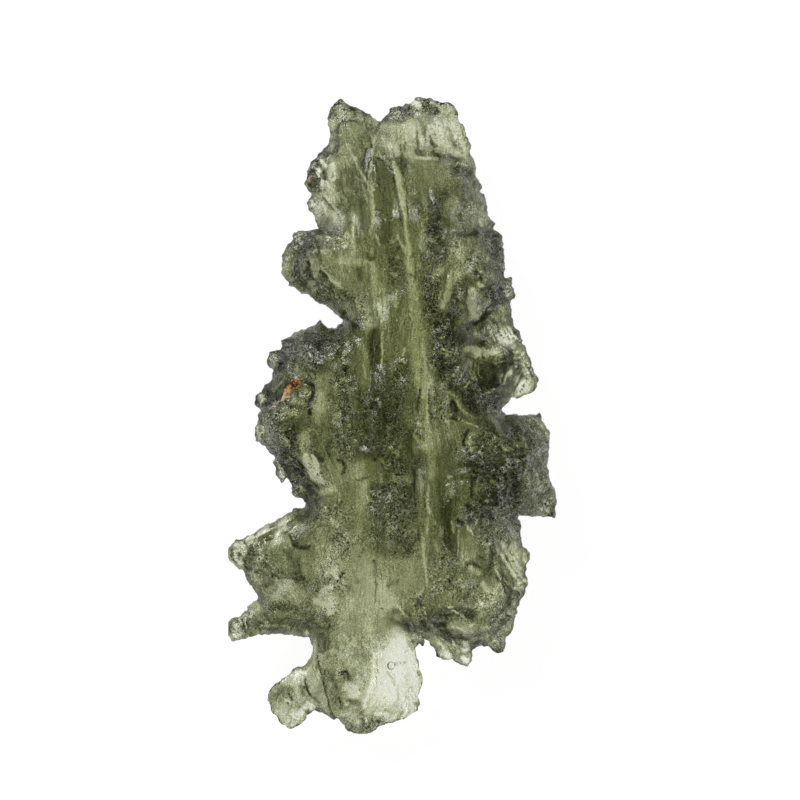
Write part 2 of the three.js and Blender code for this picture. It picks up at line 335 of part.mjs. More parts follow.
function distanceToRim(point) {
  let nearest = Infinity;
  OUTLINE.forEach((corner, i) => {
    const next = OUTLINE[(i + 1) % OUTLINE.length];
    const share = shareAlong(point, corner, next);
    const place = [mix(corner[0], next[0], share), mix(corner[1], next[1], share)];
    nearest = Math.min(nearest, distance(point, place));
  });
  return nearest;
}

function blendStations(point) {
  let total = 0;
  let thickness = 0;
  let lift = 0;
  STATIONS.forEach((station) => {
    const weight = Math.exp(-((distance(point, station) / STATION_REACH) ** 2)) + 1e-9;
    total += weight;
    thickness += weight * station[2];
    lift += weight * station[3];
  });
  return { thickness: thickness / total, lift: lift / total };
}

// Depth cut by the deepest flute here; the section is a U with sharp shoulders.
function fluteCut(point, flutes) {
  let deepest = 0;
  flutes.forEach((nodes) => {
    const { gap, half, depth } = nearestOnStroke(point, nodes);
    if (gap < half) {
      deepest = Math.max(deepest, depth * (1 - (gap / half) ** 2));
    }
  });
  return deepest;
}

function scoopCut(point, scoops) {
  let deepest = 0;
  scoops.forEach(([x, y, halfLength, halfWidth, turn, depth]) => {
    const angle = THREE.MathUtils.degToRad(turn);
    const dx = point[0] - x;
    const dy = point[1] - y;
    const along = (dx * Math.cos(angle) + dy * Math.sin(angle)) / halfLength;
    const across = (dy * Math.cos(angle) - dx * Math.sin(angle)) / halfWidth;
    const reach = along ** 2 + across ** 2;
    if (reach < 1) {
      deepest = Math.max(deepest, depth * (1 - reach));
    }
  });
  return deepest;
}

function ridgeRise(point, ridges) {
  let highest = 0;
  ridges.forEach((nodes) => {
    const { gap, half, depth } = nearestOnStroke(point, nodes);
    highest = Math.max(highest, depth * clamp01(1 - gap / half));
  });
  return highest;
}

// Heights of the upper face and the underside at a point of the plan.
function faces(point) {
  const { thickness, lift } = blendStations(point);
  const inward = clamp01(distanceToRim(point) / MARGIN_WIDTH);
  const fullness = Math.sqrt(1 - (1 - inward) ** 2);
  const rimThickness = Math.min(RIM_BASE + RIM_SHARE * thickness, thickness);
  const rounding = (thickness - rimThickness) * (1 - fullness);

  let under = lift + rounding * (1 - ROUND_FROM_ABOVE);
  let top = lift + thickness - rounding * ROUND_FROM_ABOVE;
  const carved = fullness ** 2;
  top -= Math.max(fluteCut(point, TOP_FLUTES), scoopCut(point, TOP_SCOOPS)) * carved;
  top += ridgeRise(point, TOP_RIDGES) * carved;
  under += Math.max(fluteCut(point, UNDER_FLUTES), scoopCut(point, UNDER_SCOOPS)) * carved;

  PADS.forEach(([x, y, radius]) => {
    const outside = distance(point, [x, y]) - radius;
    under *= clamp01(outside / PAD_EASE);
  });
  top = Math.max(top, under + THINNEST);
  return { top, under };
}

// ---- triangulation ------------------------------------------------------------------------

// Mesh points inside the rim: first those that follow given lines, then a lattice between them.
function innerPoints(rim, pitch, lines) {
  const kept = [];
  const isFree = (point, gap) => kept.every((other) => distance(point, other) > gap)
    && rim.every((other) => distance(point, other) > gap)
    && distanceToRim(point) > pitch * RIM_CLEARANCE
    && isInside(point);

  lines.forEach((line) => {
    for (let i = 1; i < line.length; i += 1) {
      const pieces = Math.ceil(distance(line[i - 1], line[i]) / pitch);
      for (let k = 0; k < pieces; k += 1) {
        const place = [0, 1].map((axis) => mix(line[i - 1][axis], line[i][axis], k / pieces));
        if (isFree(place, pitch * LINE_SPACING)) {
          kept.push(place);
        }
      }
    }
  });

  const box = new THREE.Box2().setFromPoints(OUTLINE.map(([x, y]) => new THREE.Vector2(x, y)));
  const rowHeight = pitch * Math.sqrt(3) / 2;
  const rows = Math.ceil((box.max.y - box.min.y) / rowHeight);
  const columns = Math.ceil((box.max.x - box.min.x) / pitch);
  for (let row = 0; row <= rows; row += 1) {
    for (let column = 0; column <= columns; column += 1) {
      const shift = (row % 2) / 2;
      const place = [
        box.min.x + (column + shift + scatter(row, column, 1) * LATTICE_JITTER) * pitch,
        box.min.y + row * rowHeight + scatter(row, column, 2) * LATTICE_JITTER * pitch,
      ];
      if (isFree(place, pitch * LATTICE_SPACING)) {
        kept.push(place);
      }
    }
  }
  return kept;
}

function isInside(point) {
  let inside = false;
  OUTLINE.forEach((a, i) => {
    const b = OUTLINE[(i + 1) % OUTLINE.length];
    const straddles = (a[1] > point[1]) !== (b[1] > point[1]);
    if (straddles && point[0] < a[0] + (b[0] - a[0]) * (point[1] - a[1]) / (b[1] - a[1])) {
      inside = !inside;
    }
  });
  return inside;
}

// A triangle with its circumscribed circle.
function circled(points, a, b, c) {
  const [ax, ay] = points[a];
  const bx = points[b][0] - ax;
  const by = points[b][1] - ay;
  const cx = points[c][0] - ax;
  const cy = points[c][1] - ay;
  const twiceArea = 2 * (bx * cy - by * cx);
  const ux = (cy * (bx * bx + by * by) - by * (cx * cx + cy * cy)) / twiceArea;
  const uy = (bx * (cx * cx + cy * cy) - cx * (bx * bx + by * by)) / twiceArea;
  return { corners: [a, b, c], centre: [ax + ux, ay + uy], radius: Math.hypot(ux, uy) };
}

// Delaunay triangles of the points that lie inside the outline, counter-clockwise.
function triangulate(points) {
  const far = 1e4;
  const all = [...points, [-far, -far], [far, -far], [0, far]];
  const count = points.length;
  let triangles = [circled(all, count, count + 1, count + 2)];
  points.forEach((point, index) => {
    const border = new Map();
    triangles = triangles.filter(({ corners, centre, radius }) => {
      if (distance(point, centre) > radius) {
        return true;
      }
      corners.forEach((from, k) => {
        const to = corners[(k + 1) % 3];
        if (!border.delete(`${to},${from}`)) {
          border.set(`${from},${to}`, [from, to]);
        }
      });
      return false;
    });
    border.forEach(([from, to]) => triangles.push(circled(all, from, to, index)));
  });

  return triangles.map(({ corners }) => corners).filter((corners) => {
    if (Math.max(...corners) >= count) {
      return false;
    }
    const middle = [0, 1].map((axis) => corners.reduce((sum, i) => sum + points[i][axis], 0) / 3);
    return isInside(middle);
  });
}

// Stops the build if the triangles don't end exactly at the rim.
function checkRim(triangles, rim) {
  const open = new Set();
  triangles.forEach((corners) => corners.forEach((from, k) => {
    const to = corners[(k + 1) % 3];
    if (!open.delete(`${to},${from}`)) {
      open.add(`${from},${to}`);
    }
  }));
  rim.forEach((point, i) => {
    if (!open.delete(`${i},${(i + 1) % rim.length}`)) {
      throw new Error(`the mesh misses the rim after ${point}`);
    }
  });
  if (open.size > 0) {
    throw new Error(`the mesh is open inside the rim at ${[...open]}`);
  }
}

// ---- the stone ----------------------------------------------------------------------------

function stoneGeometry() {
  const rim = rimPoints();
  const positions = [];

  // One face: its points are added to the positions, and its triangles are returned.
  const addFace = (pitch, lines, side) => {
    const points = [...rim, ...innerPoints(rim, pitch, lines)];
    const triangles = triangulate(points);
    checkRim(triangles, rim);
    const first = positions.length / 3;
    points.forEach((point) => positions.push(point[0], point[1], faces(point)[side]));
    return { first, triangles };
  };

  const top = addFace(TOP_PITCH, [...TOP_FLUTES.flatMap(fluteLines), ...TOP_RIDGES], 'top');
  const under = addFace(UNDER_PITCH, UNDER_FLUTES.flatMap(fluteLines), 'under');

  const index = [];
  top.triangles.forEach(([a, b, c]) => index.push(top.first + a, top.first + b, top.first + c));
  under.triangles.forEach(([a, b, c]) => {
    index.push(under.first + a, under.first + c, under.first + b);
  });
  rim.forEach((_, i) => {
    const next = (i + 1) % rim.length;
    index.push(top.first + i, under.first + i, under.first + next);
    index.push(top.first + i, under.first + next, top.first + next);
  });

  const geometry = new THREE.BufferGeometry();
  geometry.setAttribute('position', new THREE.Float32BufferAttribute(positions, 3));
  geometry.setIndex(index);
  geometry.computeVertexNormals();
  return geometry;
}

const glass = new THREE.MeshStandardMaterial({
  color: GLASS_COLOUR,
  roughness: GLASS_ROUGHNESS,
  metalness: 0,
});

const stone = new THREE.Mesh(stoneGeometry(), glass);
stone.name = 'moldavite';

const model = new THREE.Group();
model.name = 'moldavite_stone';
model.add(stone);

export default model;
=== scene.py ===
"""Moldavite: the finished look of one etched piece of green tektite glass.

The stone's own shape comes from the frame. It is rounded off, carved with the fine relief
that the soil etched into it, and given clear green glass. What is sealed in it and stuck to
it is added, and it lies on a plain pale stage under soft light.
"""

import math

import bmesh
import bpy
import numpy as np
from bpy.props import FloatProperty, FloatVectorProperty, PointerProperty
from bpy.types import Operator, Panel, PropertyGroup
from bpy.utils import register_class, unregister_class
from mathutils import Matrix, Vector, noise
from mathutils.bvhtree import BVHTree


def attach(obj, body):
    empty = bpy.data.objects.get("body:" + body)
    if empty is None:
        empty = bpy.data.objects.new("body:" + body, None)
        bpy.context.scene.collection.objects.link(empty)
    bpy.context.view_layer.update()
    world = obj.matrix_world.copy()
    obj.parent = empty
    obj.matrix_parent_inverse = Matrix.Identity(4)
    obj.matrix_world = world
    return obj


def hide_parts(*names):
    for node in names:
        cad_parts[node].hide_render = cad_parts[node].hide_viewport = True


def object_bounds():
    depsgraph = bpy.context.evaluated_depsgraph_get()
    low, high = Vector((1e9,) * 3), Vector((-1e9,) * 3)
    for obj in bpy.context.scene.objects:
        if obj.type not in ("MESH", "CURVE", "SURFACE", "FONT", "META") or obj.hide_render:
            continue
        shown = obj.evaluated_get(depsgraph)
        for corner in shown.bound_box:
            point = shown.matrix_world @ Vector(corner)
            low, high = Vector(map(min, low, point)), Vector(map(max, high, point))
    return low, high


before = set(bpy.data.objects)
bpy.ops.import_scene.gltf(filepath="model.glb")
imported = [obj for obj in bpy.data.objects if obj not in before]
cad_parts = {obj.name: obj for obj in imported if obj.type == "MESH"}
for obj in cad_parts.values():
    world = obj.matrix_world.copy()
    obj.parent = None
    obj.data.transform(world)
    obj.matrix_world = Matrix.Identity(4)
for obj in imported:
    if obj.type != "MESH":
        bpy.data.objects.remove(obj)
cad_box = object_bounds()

bl_info = {
    "name": "Moldavite",
    "version": (1, 0, 0),
    "blender": (4, 5, 0),
    "location": "View3D > Sidebar > Moldavite",
    "description": "Builds an etched piece of green natural glass around its CAD solid",
    "category": "Object",
}

MM = 0.001
STONE_NODE = "moldavite"
BODY = "root"

# How light each part of the upper face looks, painted in order, later strokes over earlier ones.
# This lightness is partly the glass's own tint and partly painted light: the dark strokes over
# pits and steep relief hold painted shade, the small nearly white spots are painted glints, and a
# few light strokes paint over dark lines that the relief casts. A stroke is: lightness in percent,
# half width in mm, then the x and y in mm of the points that it runs through. One point makes a
# round spot.
BROAD_TONES = (
    # crown
    (57, 1, -3, 16.9, -2.2, 16.4), (48, 0.8, -2.2, 15.8, -1.6, 15), (52, 0.6, -3, 14.3, -2.4, 13.6),
    (62, 0.6, -0.5, 15.8, -0.2, 15), (70, 0.8, 0.9, 15.6, 1, 14.8), (77, 0.8, 2.5, 15.9, 2.5, 15.1),
    (69, 0.5, 3.6, 16.2, 4, 14.8), (60, 0.4, 2.8, 17.1, 3.1, 17.1),
    # shoulders
    (60, 0.7, -4, 11.6, -3.4, 10.7), (44, 0.7, -2.3, 12.8, -1.9, 10),
    (36, 0.5, -0.6, 13.6, -0.4, 12, -0.4, 9.6), (46, 0.9, 2.2, 13.3, 3.4, 12.7),
    (44, 0.9, 1.5, 12.4, 1.8, 11.8), (45, 0.5, 1.4, 11, 1.4, 8), (44, 0.5, 4, 12.5, 4.6, 11.9),
    (32, 0.55, 2.6, 11.6, 2.3, 10.4), (28, 0.4, 2.2, 10.5, 2.6, 9.8), (35, 0.45, 2.4, 9.4, 2.2, 8.7),
    (58, 0.8, 3.6, 11.2, 4.3, 10.7), (52, 0.5, 3.6, 9.6, 4.5, 9.6),
    # first left lobe
    (45, 0.6, -5.3, 9.9, -4.5, 10), (44, 0.5, -3.8, 9.5, -3.2, 9.4), (38, 0.6, -5.1, 9, -5, 7.6),
    (52, 0.3, -5.85, 9.1, -5.95, 8.2), (50, 0.8, -3.2, 8.5, -2.2, 8.2),
    (38, 0.55, -3.8, 7, -3.1, 6.5, -2.7, 6.1),
    # body above the waist
    (48, 0.7, -1.3, 8.2, -1.1, 6.6, -0.8, 5.2), (38, 0.5, 0.2, 9.2, 0.3, 8, 0.4, 7.2),
    (43, 0.6, 0.3, 6.6, 0.2, 5, 0.1, 3.6), (31, 0.4, -2.5, 6.2, -2.3, 5),
    # right lobe
    (59, 0.7, 3.6, 8.9, 3.9, 8.3), (36, 0.5, 2.1, 7.6, 2.1, 5.2), (35, 0.5, 3.6, 6.6, 3.4, 5.6),
    (46, 0.6, 5.1, 8.5, 5.3, 7.8), (38, 0.5, 5.4, 9.7, 5.9, 8.8), (42, 0.3, 6.1, 8.6, 6.1, 7.8),
    (27, 0.45, 5.3, 6.9, 5.8, 6.5), (50, 0.4, 6.3, 7.2, 6.5, 6.7), (50, 0.5, 5.4, 5.5, 6.4, 5.4),
    (62, 0.5, 4.8, 4.6, 5.8, 4.6), (30, 0.6, 2.9, 4.9, 2.8, 4, 4, 4.2), (36, 0.5, 2.5, 3.5, 3.2, 3.2),
    # hollow behind the right lobe
    (28, 0.9, 4.3, 2.3, 4.8, 1.3), (27, 0.6, 3.6, 1.4, 4.6, 0.5, 5.4, 0.7), (33, 0.4, 5.4, 2.9, 6.4, 2.9),
    (72, 0.5, 6.7, 2.3, 6.9, 1.5), (54, 0.4, 7.4, 2.9, 7.7, 2.1), (40, 0.5, 2.4, 2.6, 2.6, 1.4),
    (43, 0.4, 2.4, 0.6, 2.7, -0.2),
    # second left lobe
    (41, 1, -5.3, 4, -4.8, 3.4), (29, 0.5, -4.2, 4.4, -4.1, 3.5, -4.2, 2.9),
    (38, 0.5, -3.2, 4.6, -2.9, 3.6), (37, 0.5, -4.7, 2.8, -4.4, 2.2), (50, 0.4, -5.6, 2.7, -5.4, 2.4),
    (36, 0.5, -6.7, 1, -6.1, 1.3), (40, 0.5, -5.2, 1.2, -4.8, 0.9), (50, 0.4, -6.4, 0.2, -5.5, 0.3),
    (54, 0.35, -3.7, 2.1, -4, 1, -4.2, -0.2), (33, 0.5, -5.7, -0.3, -4.8, -0.3),
    (28, 0.55, -5.7, -1.1, -5.4, -1.5), (50, 0.5, -6.9, -0.5, -6.7, -1.1),
    (43, 0.4, -6.4, -1.6, -6.1, -2.4), (44, 0.45, -4.5, -0.8, -4.6, -1.5),
    (37, 0.4, -3.9, -0.9, -3.8, -2.1), (34, 0.5, -5.4, -3, -5.2, -3.9, -4.7, -4.2),
    # left of the waist
    (40, 0.65, -2.8, 1.9, -2.7, 0.5, -2.6, -0.8), (40, 0.6, -2.8, -1.3, -2.2, -1.9),
    (43, 0.4, -2.1, 4.1, -2.1, 2.4), (47, 0.25, -1.7, 3.8, -1.5, 2.9), (43, 0.3, -2.2, 2.2, -2.2, 1.2),
    (33, 0.45, -1.6, 1.3, -1.6, -0.8, -1.4, -1.9), (50, 0.6, -2.6, -3, -2, -3.3),
    (44, 0.7, -3.2, -4.4, -2.6, -4.5), (58, 0.4, -1.7, -2.8, -1.7, -4.4), (56, 0.4, -1.8, -5, -2.1, -6.4),
    # waist
    (31, 0.38, -0.95, 4.4, -0.95, 2.6, -0.8, 0.6), (36, 0.4, -0.4, 2.8, -0.4, 1.4),
    (35, 0.45, 0.5, 2.8, 0.3, 1.5), (34, 0.6, 0.1, 1.1, 0.4, -0.9), (37, 0.5, 0.1, -1.6, 0.4, -2.6),
    (31, 0.45, -0.7, -0.2, -0.8, -1.9), (36, 0.6, 0, -1.6, 0.1, -3.4),
    (31, 0.22, 0.9, -0.9, 1, -1.6, 1.1, -2.8, 1.1, -5.2), (32, 0.6, 0.3, -4.3, 0.5, -5.6, 0.4, -6.8),
    (32, 0.4, -0.8, -4, -0.8, -6.8), (40, 0.4, 0.6, -7.4, -0.4, -7.4),
    # olive band right of the waist
    (46, 0.6, 2.7, -1, 2.9, -1.8), (39, 0.7, 3.2, -1.6, 3.3, -3.6), (41, 0.4, 3.8, -2.6, 3.8, -4.3),
    (45, 0.5, 2, -2.4, 1.8, -5.6), (45, 0.4, 2.3, -5, 2.3, -7.6), (32, 0.45, 3.1, -4.9, 3, -5.5),
    # right block
    (41, 0.6, 4.2, -0.3, 5.8, -0.5), (34, 0.6, 6.5, -0.4, 6.8, -1), (31, 1, 5.2, -2.4, 5.6, -3.6),
    (28, 0.9, 6.2, -2.4, 6.7, -3.4), (25, 0.7, 5.4, -4.6, 6.5, -4.3), (25, 0.5, 4.5, -2.4, 4.6, -3.1),
    (45, 0.5, 7.4, -1, 7.6, -1.9), (36, 0.4, 7.6, -2.6, 8, -2.5), (52, 0.4, 8.3, -0.6, 8.4, -1.1),
    (45, 0.3, 8.6, -1.6, 8.5, -2.6), (49, 0.5, 7.8, -3.4, 8.2, -4), (46, 0.3, 8.6, -4.2, 8.7, -5),
    (52, 0.3, 8, -5, 7.4, -5.1), (36, 0.4, 7.1, -4.8, 6.4, -5), (26, 0.5, 4.4, -5.2, 5.3, -5.5),
    (36, 0.5, 4.9, -6.2, 5.6, -6.2), (38, 0.4, 5.8, -5.6, 6.4, -5.5),
    # lower right
    (62, 0.7, 6.5, -7.1, 6.8, -7.8), (50, 0.5, 6.2, -8.1, 6.8, -9), (58, 0.3, 7.2, -7.9, 7.2, -9.4),
    (53, 0.6, 4.1, -7.1, 4.4, -7.5), (40, 0.5, 3.4, -6.4, 3.4, -7.2), (33, 0.4, 3.1, -6.6, 3, -7.6),
    (41, 0.6, 3, -8.3, 3.2, -9.1), (39, 0.7, 4.7, -8.5, 5.1, -9), (53, 0.5, 5.3, -9.6, 6, -9.9),
    (39, 0.5, 4, -9.6, 4.1, -10.2), (52, 0.5, 4.8, -10.5, 5.3, -10.8), (43, 0.6, 2.4, -9.4, 2.4, -10.3),
    (27, 0.45, 2.3, -11.1, 3.2, -10.8, 4.1, -11), (42, 0.5, 6, -10.6, 5.4, -11.2),
    (58, 0.45, 6.8, -10.7, 6.5, -11.4), (62, 0.7, 2.8, -12, 4, -12.1), (62, 0.4, 4.6, -11.9, 5, -12.2),
    (44, 0.5, 5.6, -12.1, 6, -12.5),
    # foot of the body
    (56, 1, -1.2, -8.6, -1, -10), (62, 0.6, -0.6, -9.3, -0.6, -10.3), (51, 0.7, 0.8, -8.3, 1, -9),
    (59, 0.9, -2, -10.6, -1.8, -11.6), (57, 0.6, -2.3, -12.4, -2, -13.4), (45, 0.5, 1, -10.4, 1.4, -11.4),
    (36, 0.4, 0.2, -10.9, 0.5, -11.2), (60, 0.4, -1.5, -13.6, -1.7, -15.2),
    # left, below the waist
    (47, 0.7, -3.3, -5.3, -2.7, -5.8), (46, 0.5, -2.7, -6.4, -2.6, -7.2), (54, 0.7, -4.1, -6.8, -3.9, -7.6),
    (60, 0.6, -3.4, -7.8, -3, -8.6), (52, 0.5, -2, -7.4, -2.1, -9.4), (67, 0.55, -4, -9.9, -3.5, -10.3),
    (45, 0.4, -4.5, -8.8, -4.7, -9.8),
    # upper spike
    (62, 0.6, -5.6, -5.8, -6.8, -6.5, -8.2, -7), (66, 0.4, -8.4, -7.6, -7.6, -7.7),
    (61, 0.4, -7.7, -8.8, -7.3, -9.6), (42, 0.7, -6.2, -8, -6, -8.5), (44, 0.5, -5, -6.5, -4.8, -6.9),
    (35, 0.4, -5.2, -8.4, -5.1, -8.9), (58, 0.6, -6.4, -9.4, -5.5, -9.6),
    # lower spike
    (56, 0.5, -6.6, -10.1, -7.3, -10.6), (56, 0.4, -8, -11, -8.6, -11.8),
    (34, 0.35, -6.2, -10.5, -5.4, -10.7), (36, 0.45, -7.4, -11.2, -6.2, -11.3, -5, -11.2),
    (33, 0.5, -4.7, -11.2, -3.8, -11.4), (36, 0.4, -4, -12.1, -3.7, -12.5),
    # foot, left
    (56, 0.6, -3.4, -13.4, -2.9, -13.5), (58, 1.1, -5.6, -14.9, -5.7, -16.1),
    (58, 0.3, -4.4, -14, -4.3, -15), (36, 0.3, -3.6, -14.5, -3.2, -15.2),
    (40, 0.25, -3, -15.6, -2.9, -16.2), (56, 0.3, -3.6, -15.6, -3.9, -15.9),
    (62, 0.5, -2.3, -14.9, -2.3, -15.4), (54, 0.4, -2.8, -16.5, -2.2, -16.6),
    # clear window
    (77, 0.8, 0.3, -12.7, 0.1, -14.2, 0, -15.4), (80, 0.5, -0.6, -12.9, -0.7, -14.6, -1, -15.6),
    (73, 0.5, 0.9, -13.2, 1.1, -14.6, 1, -15.9), (78, 0.4, 0.4, -11.9, 0.6, -12.5),
    (66, 0.4, -1.2, -16.2, -0.3, -16.6, 0.9, -16.4),
)

